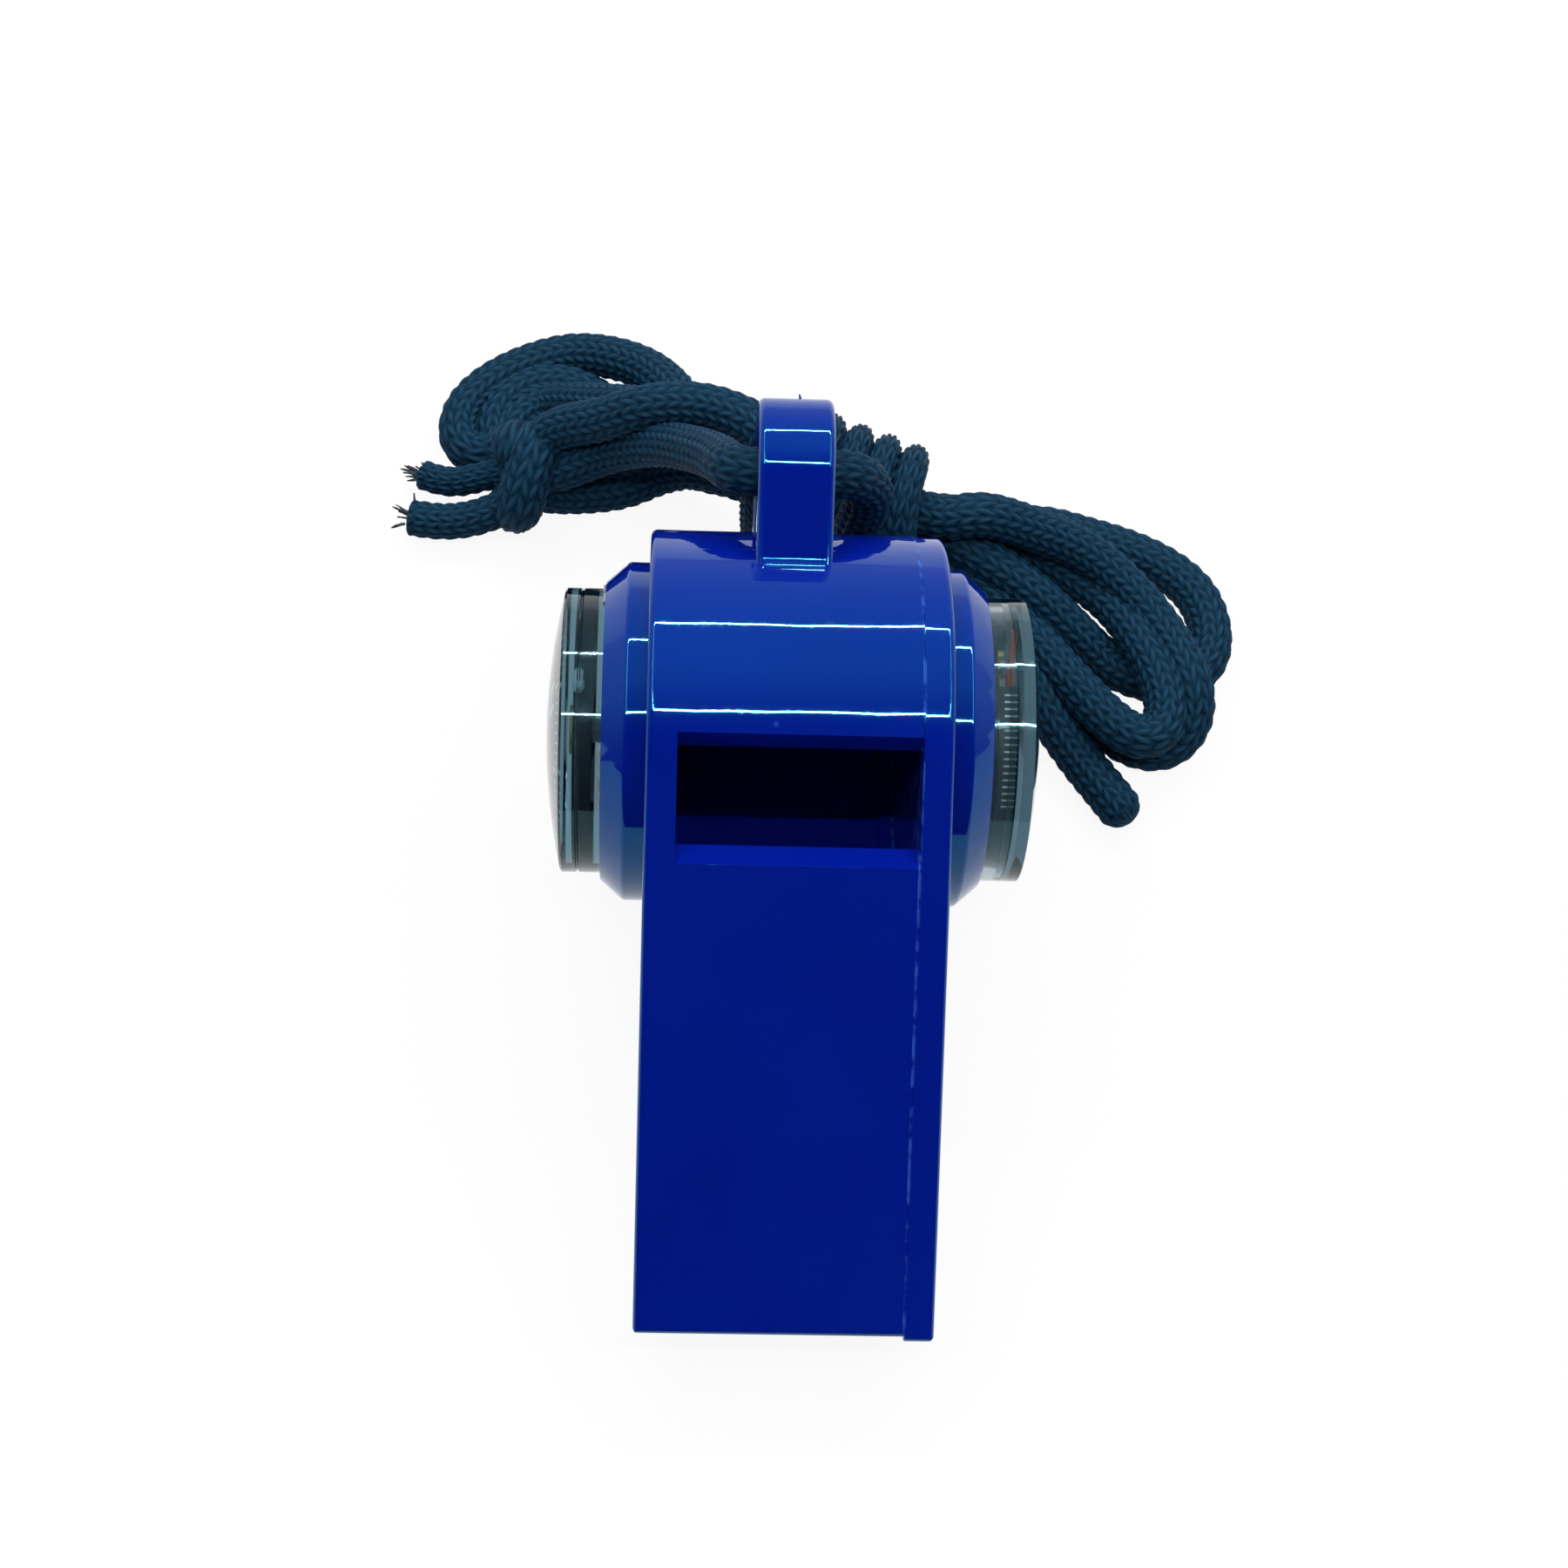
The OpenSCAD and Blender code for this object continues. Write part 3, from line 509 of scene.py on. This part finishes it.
RIB_ENDS = (1.9 * MM, 8.2 * MM)
RIB_W = 0.6 * MM
RIB_H = 0.3 * MM
RIB_ROUNDING = 0.08 * MM
POINTER_DIR = math.radians(51.4)
pointer_rib("pointer_rib", RIB_ENDS, RIB_W, RIB_H, POINTER_DIR)
dial_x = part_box("thermometer_dial")[1][0] + INK_LIFT
COLD, WARM = math.radians(221.4), math.radians(-28.6)
COLDEST, WARMEST = -20, 40
TENS = range(COLDEST, WARMEST + 1, 10)
DEGREE_TICK = (0.14 * MM, 0.7 * MM)
TENS_TICK = (0.26 * MM, 1.1 * MM)
NUMBER = 1.25 * MM
sweep = COLD - WARM
degrees = WARMEST - COLDEST
dial_marks = [
    ink_ticks("dial_degrees", dial_x, 8.45 * MM, LAID_FLAT, DEGREE_TICK, WARM, degrees + 1, sweep),
    ink_ticks("dial_tens", dial_x, 8.25 * MM, LAID_FLAT, TENS_TICK, WARM, len(TENS), sweep)]
dial_marks += ink_words(dial_x, 6.5 * MM, NUMBER, [
    (str(t), WARM + sweep * (WARMEST - t) / degrees) for t in TENS])
ink_print("dial_print", dial_marks, white_ink, "whistle")


# Scale ring
# A thin dark sleeve that stands on the dial's edge inside the cup, along the cold half of the scale. It is
# rolled from card and held between dial and lens.
SLEEVE_R = 8.95 * MM
SLEEVE_H = 1.35 * MM
SLEEVE_WALL = 0.15 * MM
SLEEVE_TICK = (0.7 * SLEEVE_H, 0.13 * MM)
SLEEVE_FROM, SLEEVE_TO = math.radians(88), math.radians(250)


def dial_angle(v):
    """The angle of a place round the drum's axis, from the rear, up, from 0 to a full turn."""
    return math.atan2(v.z - drum.z, v.y - drum.y) % (2 * math.pi)


def card_sleeve(name, x, radius, height, wall, material):
    """A thin round wall on the drum's axis: a ring's edge cut to an arc, drawn out and made thick."""
    bpy.ops.object.select_all(action="DESELECT")
    bpy.ops.mesh.primitive_circle_add(vertices=128, radius=radius, location=(x, drum.y, drum.z),
                                      rotation=(0, math.pi / 2, 0))
    sleeve = bpy.context.object
    sleeve.name = name
    bpy.ops.object.transform_apply()
    pick(sleeve, lambda v: not SLEEVE_FROM < dial_angle(v) < SLEEVE_TO)
    bpy.ops.mesh.delete(type="VERT")
    bpy.ops.mesh.select_all(action="SELECT")
    bpy.ops.mesh.extrude_region_move(TRANSFORM_OT_translate={"value": (height, 0, 0)})
    bpy.ops.mesh.select_all(action="SELECT")
    bpy.ops.mesh.normals_make_consistent(inside=False)
    bpy.ops.object.mode_set(mode="OBJECT")
    thick = sleeve.modifiers.new("wall", "SOLIDIFY")
    thick.thickness = wall
    thick.offset = 0
    bpy.ops.object.modifier_apply(modifier="wall")
    bpy.ops.object.shade_smooth_by_angle(angle=math.radians(30))
    sleeve.data.materials.append(material)
    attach(sleeve, "whistle")


sleeve_card = printed("sleeve_card", (0.022, 0.04, 0.05), 0.4)
card_sleeve("dial_sleeve", dial_x, SLEEVE_R, SLEEVE_H, SLEEVE_WALL, sleeve_card)
sleeve_ticks = ink_ticks("sleeve_ticks", dial_x + 0.6 * SLEEVE_H, SLEEVE_R + 0.6 * SLEEVE_WALL, LAID_ROUND,
                         SLEEVE_TICK, math.radians(94), 17, math.radians(48))
ink_print("sleeve_print", [sleeve_ticks], white_ink, "whistle")


# Thermometer capsule
# The same clear cup and lens as the compass has, but with air inside. The cup is glued into the bezel of
# the side cover and the lens cemented on its rim.
CLEAR_FACE = (0.72, 0.8, 0.83, 1)
# The first, darker tints are painted shade on the round walls of cup and lens.
finish_node("thermometer_cup", clear_plastic("clear_cup", (0.36, 0.44, 0.48, 1), CLEAR_FACE))
finish_node("thermometer_lens", clear_plastic("clear_lens", (0.06, 0.12, 0.16, 1), CLEAR_FACE))


# Lanyard
# A black knitted polyester cord: it runs through the loop's eye and down behind the drum, and is folded
# into a hank of strands that lie stacked in the tie. Its stitches stand in columns of nested V shapes.
CORD_D = 2.8 * MM
CORD_R = 1.74 * MM
LIE = 1.5 * MM
COLUMNS = 8
ROW = 1.05 * MM
LEG_SLOPE = 0.9
STITCH = 0.34 * MM
GAP_HEIGHT = 0.2
YARN_DEPTH = 0.05 * MM
YARN_GAP_SHADE = (0.0014, 0.012, 0.028, 1)
YARN_TOP_HIGHLIGHT = (0.0125, 0.05, 0.1, 1)
YARN_GLOSS = (0.25, 0.75, 1, 1)
SIDES = 64
RING = 0.17 * MM
EASING = 60
eye = Vector(next(m["pos_m"] for m in frame["record"]["mounts"] if m["name"] == "lanyard_eye"))


def knitted_black():
    """Black polyester yarn: painted shade in the gaps between stitches, a painted teal highlight on their tops,
    and fine filaments along each leg.
    """
    material, tree, shader = new_material("black_knit")
    # Painted shade and highlight: the colour runs from dark in the gaps between stitches to teal on their tops,
    # following the stitch height.
    stitch = add(tree, "Attribute", attribute_name="stitch").outputs["Fac"]
    colour = ramp(tree, stitch, [(0.25, YARN_GAP_SHADE), (0.98, YARN_TOP_HIGHLIGHT)])
    tree.links.new(colour, shader.inputs["Base Color"])
    knit = add(tree, "UVMap", uv_map="knit").outputs["UV"]
    lay = add(tree, "Mapping", {"Vector": knit, "Scale": (1.5, 14, 1)})
    yarn = add(tree, "TexNoise", {"Vector": lay.outputs["Vector"], "Scale": 1, "Detail": 2})
    add_bump(tree, shader, yarn.outputs["Fac"], 0.5, YARN_DEPTH)
    shader.inputs["Roughness"].default_value = 0.55
    shader.inputs["Specular IOR Level"].default_value = 0.06
    shader.inputs["Specular Tint"].default_value = YARN_GLOSS
    return material


def route(points):
    """A route given in millimetres, with Y from the eye, as metres in the whistle's frame."""
    return np.array(points, float) * MM + (0, eye.y, 0)


def smooth_line(points, steps=24):
    """A line that bends evenly through the points and stays above the table."""
    ends = np.vstack([points[:1], points, points[-1:]])
    t = np.linspace(0, 1, steps, endpoint=False)[:, None]
    spans = [b + 0.5 * t * (c - a + t * (2 * a - 5 * b + 4 * c - d + t * (3 * (b - c) + d - a)))
             for a, b, c, d in zip(ends[:-3], ends[1:-2], ends[2:-1], ends[3:])]
    line = np.vstack(spans + [points[-1:]])
    line[:, 2] = np.maximum(line[:, 2], LIE)
    return line


def length_of(line):
    """The length of a line of points."""
    return float(np.linalg.norm(np.diff(line, axis=0), axis=1).sum())


def evenly(line, step):
    """The same line with its points a step apart, and how far along it each lies."""
    run = np.concatenate([[0], np.cumsum(np.linalg.norm(np.diff(line, axis=0), axis=1))])
    at = np.linspace(0, run[-1], int(round(run[-1] / step)) + 1)
    return np.stack([np.interp(at, run, line[:, k]) for k in range(3)], axis=1), at


def relaxed(line):
    """The same line at even steps, with its sharp bends eased."""
    line, run = evenly(line, RING)
    for i in range(EASING):
        line[1:-1] = (line[:-2] + 2 * line[1:-1] + line[2:]) / 4
    return line


def ring_axes(line):
    """Two axes across a line at each of its points, which don't twist along it."""
    ahead = np.gradient(line, axis=0)
    ahead /= np.linalg.norm(ahead, axis=1)[:, None]
    across = np.zeros_like(line)
    last = np.array([0, 0, 1.0]) if abs(ahead[0][2]) < 0.8 else np.array([1.0, 0, 0])
    for i, t in enumerate(ahead):
        last = last - (last @ t) * t
        last /= np.linalg.norm(last)
        across[i] = last
    return across, np.cross(ahead, across)


def knitted_cord(line, cord_r=CORD_R, squeeze=None, rounding=0.9):
    """A round knitted cord along a line, its stitches in columns of nested V shapes, with rounded ends.
    squeeze = (axis, share, first, last) narrows the cord along an axis between two lengths, and rounding
    is the length of its rounded ends, in radii. Gives the line's even points, the cord's surface in rings,
    the height of each stitch and the lengths run."""
    line, run = evenly(relaxed(line), RING)
    across, beside = ring_axes(line)
    turn = np.arange(SIDES) / SIDES
    side = np.abs((turn * COLUMNS) % 1 - 0.5) * 2
    row = run[:, None] / ROW - LEG_SLOPE * side
    leg = np.sqrt(np.abs(np.sin(math.pi * row)))
    plump = np.sqrt(np.sin(math.pi * np.clip(side, 0.03, 0.97)))
    height = leg * (GAP_HEIGHT + (1 - GAP_HEIGHT) * plump)
    radius = cord_r - STITCH * (1 - height)
    ends = np.clip(np.minimum(run, run[-1] - run) / (rounding * cord_r), 0, 1)
    radius = radius * np.sqrt(np.clip(1 - (1 - ends) ** 2, 0.02, 1))[:, None]
    a = 2 * math.pi * turn[None, :, None]
    offset = radius[:, :, None] * (np.cos(a) * across[:, None, :] + np.sin(a) * beside[:, None, :])
    if squeeze is not None:
        axis, share, first, last = squeeze
        weight = np.clip(np.minimum(run - first, last - run) / (2 * CORD_R), 0, 1)[:, None, None]
        offset = offset - share * weight * (offset @ axis)[:, :, None] * axis
    skin = line[:, None, :] + offset
    skin[:, :, 2] = np.maximum(skin[:, :, 2], 0)
    return line, skin, height, run


def cord_piece(name, cord, first=0, last=None):
    """A stretch of a knitted cord as a piece, from one ring to another."""
    line, skin, height, run = (part[first:last] for part in cord)
    rings = len(line)
    i, k = np.meshgrid(np.arange(rings - 1), np.arange(SIDES), indexing="ij")
    next_k = (k + 1) % SIDES
    quads = np.stack([i * SIDES + k, i * SIDES + next_k, (i + 1) * SIDES + next_k, (i + 1) * SIDES + k],
                     axis=-1)
    faces = quads.reshape(-1, 4).tolist()
    faces.append(list(range(SIDES))[::-1])
    faces.append(list(range((rings - 1) * SIDES, rings * SIDES)))
    mesh = bpy.data.meshes.new(name)
    mesh.from_pydata(skin.reshape(-1, 3).tolist(), [], faces)
    shade = mesh.attributes.new("stitch", "FLOAT", "POINT")
    shade.data.foreach_set("value", height.reshape(-1).astype(np.float32))
    lanes = np.stack([k, k + 1, k + 1, k], axis=-1) / SIDES * COLUMNS
    rows = np.stack([i, i, i + 1, i + 1], axis=-1)
    along = run[rows] / ROW - LEG_SLOPE * np.abs(lanes % 1 - 0.5) * 2
    flat = np.vstack([np.stack([lanes, along], axis=-1).reshape(-1, 2), np.zeros((2 * SIDES, 2))])
    uv = mesh.uv_layers.new(name="knit")
    uv.data.foreach_set("uv", flat.reshape(-1).astype(np.float32))
    mesh.polygons.foreach_set("use_smooth", [True] * len(mesh.polygons))
    mesh.validate()
    piece = bpy.data.objects.new(name, mesh)
    bpy.context.collection.objects.link(piece)
    piece.data.materials.append(black_knit)
    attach(piece, "whistle")
    return piece, line


black_knit = knitted_black()
lie = LIE / MM
eye_z = eye.z / MM
eye_mid = eye_z - 0.4
eye_side = eye_z - 1
lead_end = [20.2, 8.4, lie]
lead_route = route([
    [-19.4, 10.2, 4.2], [-17, 10.6, 5], [-13.2, 11.2, 7], [-9.2, 8.8, 12.4], [-5.8, 4, eye_z - 5.4],
    [-4.4, 0.6, eye_side], [-0.4, 0, eye_mid], [3.4, 0.5, eye_side], [5.2, 1.1, eye_z - 4.4],
    [4.8, 1, 16.6], [4.4, 0.75, 12.6], [5, -0.2, 8.8], [7, -0.8, 5], [9.4, 0, 2.2], [11.4, 2.8, lie],
    [12.8, 6, lie], [15.6, 8, lie], lead_end])

# The waist, in millimetres: the strands lie stacked there, one above the other, and the tie's turns run
# round them at its radius.
WAIST_L = 13.2
STRAND_STEP = 2.7
TIE_R = 3.2
waist = np.array([2.6, 7.75])
waist_dir = math.radians(-21)
waist_x = np.array([math.cos(waist_dir), math.sin(waist_dir)])
waist_n = np.array([-math.sin(waist_dir), math.cos(waist_dir)])
stack_z = STRAND_STEP + TIE_R + lie
strand_z = [stack_z - STRAND_STEP, stack_z, stack_z + STRAND_STEP]


def on_waist(along, out, z):
    """A point of the waist: along the strands, out to the rear, and up from the table."""
    return [*(waist + along * waist_x + out * waist_n), z]


def through(z, way):
    """A strand through the tie, to the right (way = 1) or to the left (way = -1)."""
    return [on_waist(way * x * WAIST_L, 0, z) for x in (-0.7, -0.35, 0, 0.35, 0.7)]


hank_route = route([
    [23.4, 7.6, lie], [26.7, 6.6, lie], [29.6, 5.2, lie], [31.9, 3.2, lie], [33, 0.4, lie],
    [32.7, -2.6, lie], [30.6, -4.5, lie], [27.6, -4.4, lie], [24.6, -3.1, 1.9], [21.6, -1.3, 4.1],
    [18.2, 0.7, 6.3], [14.6, 2.6, 7.7],
    *through(strand_z[1], -1),
    [-7.6, 14.2, 7], [-8.8, 17.4, 5.4], [-11, 20.2, 3.8], [-14, 21.9, 2.6], [-17, 22.5, 1.8],
    [-19.8, 21.8, lie], [-22.4, 20.4, lie], [-24.6, 18.4, lie], [-25.6, 16, lie], [-25, 13.8, lie],
    [-23.2, 13.4, lie], [-21.8, 15, lie], [-20.8, 17, 1.6], [-18.2, 17.9, 1.9], [-14.6, 15.8, 5.6],
    [-10.2, 13, 10],
    *through(strand_z[2], 1),
    [14.2, 4.6, 10.8], [18.2, 4.5, 8.9], [22.4, 3.7, 7], [26.2, 1.2, 5.4], [29, -2.4, 4.8],
    [30.6, -6, 4.8], [30.8, -8.6, 3.2], [29, -10.3, 1.7], [26.2, -9.8, lie], [23.6, -7.6, lie],
    [21, -4.6, lie], [18, -1.4, 1.8], [14.6, 1.8, 3.6],
    *through(strand_z[0], -1),
    [-9.4, 11.8, 2.6], [-12.8, 10.8, lie], [-17.4, 10, 2], [-19.6, 9.6, 3.4]])

lanyard = knitted_cord(smooth_line(np.vstack([lead_route, hank_route])))
hand_over = int(np.argmin(np.linalg.norm(lanyard[0] - route(lead_end), axis=1)))
lead, lead_line = cord_piece("lanyard_lead_cord", lanyard, 0, hand_over + 1)
hank, hank_line = cord_piece("lanyard_hank_cord", lanyard, hand_over)
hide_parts("lanyard_lead")
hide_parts("lanyard_hank")


# Inner loop
# One more loop of the same knitted cord, which fills the hank's two lobes. It runs from the knot round the
# left lobe, through the tie, round the right lobe and back into the tie, and is held by both.
inner_route = route([
    [-20.4, 11.2, 2.4], [-22.2, 13.4, lie], [-22.9, 15.8, lie], [-22, 18.2, lie], [-19.6, 19.8, lie],
    [-16.8, 19.8, lie], [-14.4, 18.2, lie], [-12.6, 15.8, 1.8], [-10.2, 13.2, 2.8], on_waist(-8, 0.3, 4),
    on_waist(-4, 0.4, 6), on_waist(0, 0.5, 7), on_waist(4, 0.5, 7.8), on_waist(7, 0.7, 8.2),
    [13, 5.6, 8], [16.6, 5, 6.4], [19.6, 4.2, 5.2], [22.4, 2.6, 4.6], [24.6, 0.9, 4.5], [26.4, -1.4, 4.5],
    [27.8, -4.2, 4.6], [28.7, -6.9, 4.5], [28.6, -9.4, 4.3], [26.8, -10.6, 4.3], [24.4, -9.2, 4.5],
    [21.4, -6, 4.7], [18.4, -2.6, 5], [15, 0.6, 5.8], on_waist(8, -0.7, 6.2), on_waist(4, -0.6, 6.4)])
inner, inner_line = cord_piece("lanyard_inner_cord", knitted_cord(smooth_line(inner_route)))
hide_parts("lanyard_hank")


# Knot and cut ends
# Both ends of the lanyard and one of the tie are joined in an overhand knot: the cord wraps one and a half
# times round the strands, and two thin cut ends stick out past it.
KNOT_TURNS = 1.55
KNOT_START = -2.4
KNOT_CORD_R = 1.95 * MM
KNOT_TUCK = 0.55
KNOT_SLIDE = 3.0
KNOT_LEAN = 0.5
KNOT_LONG_R = 3.0
KNOT_SHORT_R = 1.5
knot_middle = np.array([-20.1, 10.2, 4.3])
knot_long = np.array([0, 3.2, 2.2]) / np.linalg.norm([3.2, 2.2])
knot_short = np.array([0, -2.2, 3.2]) / np.linalg.norm([3.2, 2.2])


def knot_wrap(t):
    """A point of the knot's wrap, from t = 0 to t = 1, leaning from right to left as it goes round."""
    a = 2 * math.pi * KNOT_TURNS * t + KNOT_START
    tuck = 1 - KNOT_TUCK * max(0, 1 - 8 * min(t, 1 - t))
    slide = np.array([KNOT_SLIDE * (0.5 - t) + KNOT_LEAN * math.cos(a), 0, 0])
    wrap = KNOT_LONG_R * math.cos(a) * knot_long + KNOT_SHORT_R * math.sin(a) * knot_short
    return knot_middle + slide + tuck * wrap


knot_line = smooth_line(route([knot_wrap(t) for t in np.linspace(0, 1, 26)]))
knot, knot_line = cord_piece("lanyard_knot_wrap", knitted_cord(knot_line, KNOT_CORD_R))
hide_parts("lanyard_knot")
tail_routes = [
    route([[-20.2, 9, 3.4], [-22.8, 7.8, 2.4], [-26, 7.4, 1.6], [-29.2, 7.8, lie]]),
    route([[-20.2, 10.8, 4], [-22.8, 10.8, 3.2], [-25.8, 10.6, 2], [-28.4, 11.6, lie]])]
TAIL_RADII = (1.45 * MM, 1.2 * MM)
HAIR_COUNTS = (10, 18)
FRAY_L = 1.5 * MM
FRAY_R = 0.12 * MM
FRAY_SPREAD = 0.8
FRAY_CROOK = 0.07 * MM
fray_draw = random.Random(11)
loose_yarn = printed("loose_yarn", (0.006, 0.026, 0.05), 0.7)


def frayed_end(name, line, cord_r, count):
    """Loose yarns at a cut end: thin tapering hairs that spread out of it, each a little crooked."""
    ahead = Vector(line[-1] - line[-8]).normalized()
    hairs = []
    for i in range(count):
        spread = Vector([fray_draw.uniform(-FRAY_SPREAD, FRAY_SPREAD) for axis in range(3)])
        way = (ahead + spread).normalized()
        way.z = max(way.z, -0.3)
        length = FRAY_L * fray_draw.uniform(0.5, 1)
        middle = Vector(line[-1]) + 0.6 * cord_r * spread + 0.3 * length * way
        bpy.ops.object.select_all(action="DESELECT")
        bpy.ops.mesh.primitive_cone_add(vertices=6, radius1=FRAY_R, radius2=FRAY_R / 4, depth=length,
                                        location=middle, rotation=way.to_track_quat("Z", "Y").to_euler())
        hairs.append(bpy.context.object)
    bpy.ops.object.select_all(action="DESELECT")
    for hair in hairs:
        hair.select_set(True)
    bpy.context.view_layer.objects.active = hairs[0]
    bpy.ops.object.join()
    fray = bpy.context.object
    fray.name = name
    bpy.ops.object.transform_apply()
    bpy.ops.object.mode_set(mode="EDIT")
    bpy.ops.mesh.select_all(action="SELECT")
    bpy.ops.mesh.subdivide(number_cuts=2)
    bpy.ops.transform.vertex_random(offset=FRAY_CROOK, seed=5)
    bpy.ops.object.mode_set(mode="OBJECT")
    bpy.ops.object.shade_smooth_by_angle(angle=math.radians(60))
    fray.data.materials.append(loose_yarn)
    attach(fray, "whistle")
    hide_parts("lanyard_tails")
    return fray


tails = []
for number, tail_route, tail_r, hairs in zip((1, 2), tail_routes, TAIL_RADII, HAIR_COUNTS):
    tail, tail_line = cord_piece("lanyard_tail_%d" % number,
                                 knitted_cord(smooth_line(tail_route), tail_r, rounding=0.3))
    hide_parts("lanyard_tails")
    tails += [tail, frayed_end("lanyard_fray_%d" % number, tail_line, tail_r, hairs)]


# Tie
# A second length of the same cord, wound tightly round the hank's waist so that its turns are squeezed
# narrow. One end is in the knot, the other lies free beside the thermometer.
TIE_TURNS = 5
TIE_L = 11
TIE_SHIFT = 1.1
TIE_START = math.radians(135)
TIE_SPREAD = 1.6
TIE_SQUEEZE = 0.3


def tie_turn(t):
    """A point of the tie's winding, from t = 0 to t = 1."""
    a = TIE_START + 2 * math.pi * TIE_TURNS * t
    spread = math.sin(math.pi / 2 * min(max(TIE_SPREAD * math.sin(a), -1), 1))
    return np.array(on_waist(TIE_SHIFT + (t - 0.5) * TIE_L, TIE_R * math.cos(a),
                             stack_z + TIE_R * math.sin(a) + STRAND_STEP * spread))


def tie_end(t):
    """The end of a straight run of one diameter past the winding's start (0) or its end (1)."""
    ahead = tie_turn(t + 0.001) - tie_turn(t - 0.001)
    return tie_turn(t) + (2 * t - 1) * CORD_D / MM * ahead / np.linalg.norm(ahead)


tie_lead = smooth_line(route([[-19.4, 11.8, 5.8], [-17.4, 12.6, 7.6], [-14, 12, 10.2], [-11, 11.8, 12.6],
                              [-7.6, 11.6, 13.6], [-4.8, 10.8, 14], tie_end(0)]))
tie_wound = route([tie_turn(t) for t in np.linspace(0, 1, 40 * TIE_TURNS + 1)])
tie_tail = smooth_line(route([tie_end(1), [8.8, 1.2, 7.2], [11, 0.4, 6.2], [13.4, -0.6, 5.6],
                              [15.8, -2.4, 5.2], [17.8, -5, 4.6], [20, -8.2, 3.2], [22.8, -11.6, lie],
                              [26.2, -16.2, lie]]))
wound_from = length_of(tie_lead)
wound_to = wound_from + length_of(tie_wound)
tie, tie_line = cord_piece("hank_tie_cord", knitted_cord(
    np.vstack([tie_lead, tie_wound, tie_tail]), CORD_R,
    (np.array([*waist_x, 0]), TIE_SQUEEZE, wound_from, wound_to)))
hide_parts("tie_lead", "hank_tie", "tie_tail")


# Table, light and camera
# A plain white table, pale surroundings that are brighter above and behind than in front, and a frame of
# four narrow lamps overhead. Two more, just above the front and rear ones, only add to the gleam on gloss.
WHITE_SHARE = 0.92


def ray_is(tree, *kinds):
    """1 for a ray of one of these kinds, otherwise 0."""
    path = add(tree, "LightPath")
    seen = path.outputs["Is %s Ray" % kinds[0]]
    for kind in kinds[1:]:
        other = path.outputs["Is %s Ray" % kind]
        seen = add(tree, "Math", {0: seen, 1: other}, operation="MAXIMUM").outputs[0]
    return seen


bpy.ops.object.select_all(action="DESELECT")
bpy.ops.mesh.primitive_plane_add(size=3, location=(0, 0, 0))
table = bpy.context.object
table.name = "table"
white, tree, shader = new_material("white_table")
shader.inputs["Base Color"].default_value = (0.9, 0.9, 0.9, 1)
shader.inputs["Roughness"].default_value = 0.6
glow = add(tree, "Emission", {"Color": (1, 1, 1, 1), "Strength": 1.0})
seen = ray_is(tree, "Camera", "Transmission", "Glossy")
share = add(tree, "Math", {0: seen, 1: WHITE_SHARE}, operation="MULTIPLY")
mixed = add(tree, "MixShader", {0: share.outputs[0], 1: shader.outputs[0], 2: glow.outputs[0]})
tree.links.new(mixed.outputs[0], tree.nodes["Material Output"].inputs["Surface"])
table.data.materials.append(white)


def lamp_strip(name, place, size, radiance):
    """A narrow lamp that looks straight down, with an even brightness."""
    bpy.ops.object.light_add(type="AREA", location=place)
    lamp = bpy.context.object
    lamp.name = name
    lamp.data.shape = "RECTANGLE"
    lamp.data.size, lamp.data.size_y = size
    lamp.data.energy = radiance * math.pi * size[0] * size[1]
    return lamp


LAMP_Z = 0.3
GLEAM_Z = 0.302
STRIP_X = 0.02
REAR_Y, FRONT_Y = 0.25, -0.045
STRIP_L = 0.34
SIDE_SIZE = (0.05, 0.3)
STRIP_LIGHT, GLEAM_LIGHT, SIDE_LIGHT = 200, 260, 7
lamp_strip("rear_strip", (STRIP_X, REAR_Y, LAMP_Z), (STRIP_L, 0.0034), STRIP_LIGHT)
lamp_strip("front_strip", (STRIP_X, FRONT_Y, LAMP_Z), (STRIP_L, 0.0014), STRIP_LIGHT)
rear_gleam = lamp_strip("rear_gleam", (STRIP_X, REAR_Y, GLEAM_Z), (STRIP_L, 0.0045), GLEAM_LIGHT)
front_gleam = lamp_strip("front_gleam", (STRIP_X, FRONT_Y, GLEAM_Z), (STRIP_L, 0.004), GLEAM_LIGHT)
rear_gleam.visible_diffuse = False
front_gleam.visible_diffuse = False
lamp_strip("left_strip", (-0.16, 0.1, LAMP_Z), SIDE_SIZE, SIDE_LIGHT)
lamp_strip("right_strip", (0.2, 0.1, LAMP_Z), SIDE_SIZE, SIDE_LIGHT)

FRONT_GLOW, REAR_GLOW = 0.04, 0.66
world = bpy.data.worlds.new("studio")
bpy.context.scene.world = world
world.use_nodes = True
tree = world.node_tree
seen = ray_is(tree, "Camera", "Transmission")
rearward = add(tree, "SeparateXYZ", {0: add(tree, "TexCoord").outputs["Generated"]}).outputs["Y"]
glow = add(tree, "MapRange", {0: rearward, 1: -0.45, 2: 0.35, 3: FRONT_GLOW, 4: REAR_GLOW},
           interpolation_type="SMOOTHSTEP")
strength = add(tree, "MapRange", {0: seen, 3: glow.outputs[0], 4: 1.0})
tree.links.new(strength.outputs[0], tree.nodes["Background"].inputs["Strength"])
tree.nodes["Background"].inputs["Color"].default_value = (1, 1, 1, 1)

camera_place = (-9.222 * MM, -66.141 * MM, 194.988 * MM)
camera_turn = [math.radians(a) for a in (21.931, -2.872, 0.272)]
bpy.ops.object.camera_add(location=camera_place, rotation=camera_turn)
camera = bpy.context.object
camera.data.sensor_width = 36
camera.data.lens = 63.95
camera.data.clip_start = 0.005
bpy.context.scene.camera = camera
bpy.context.scene.view_settings.view_transform = "Standard"
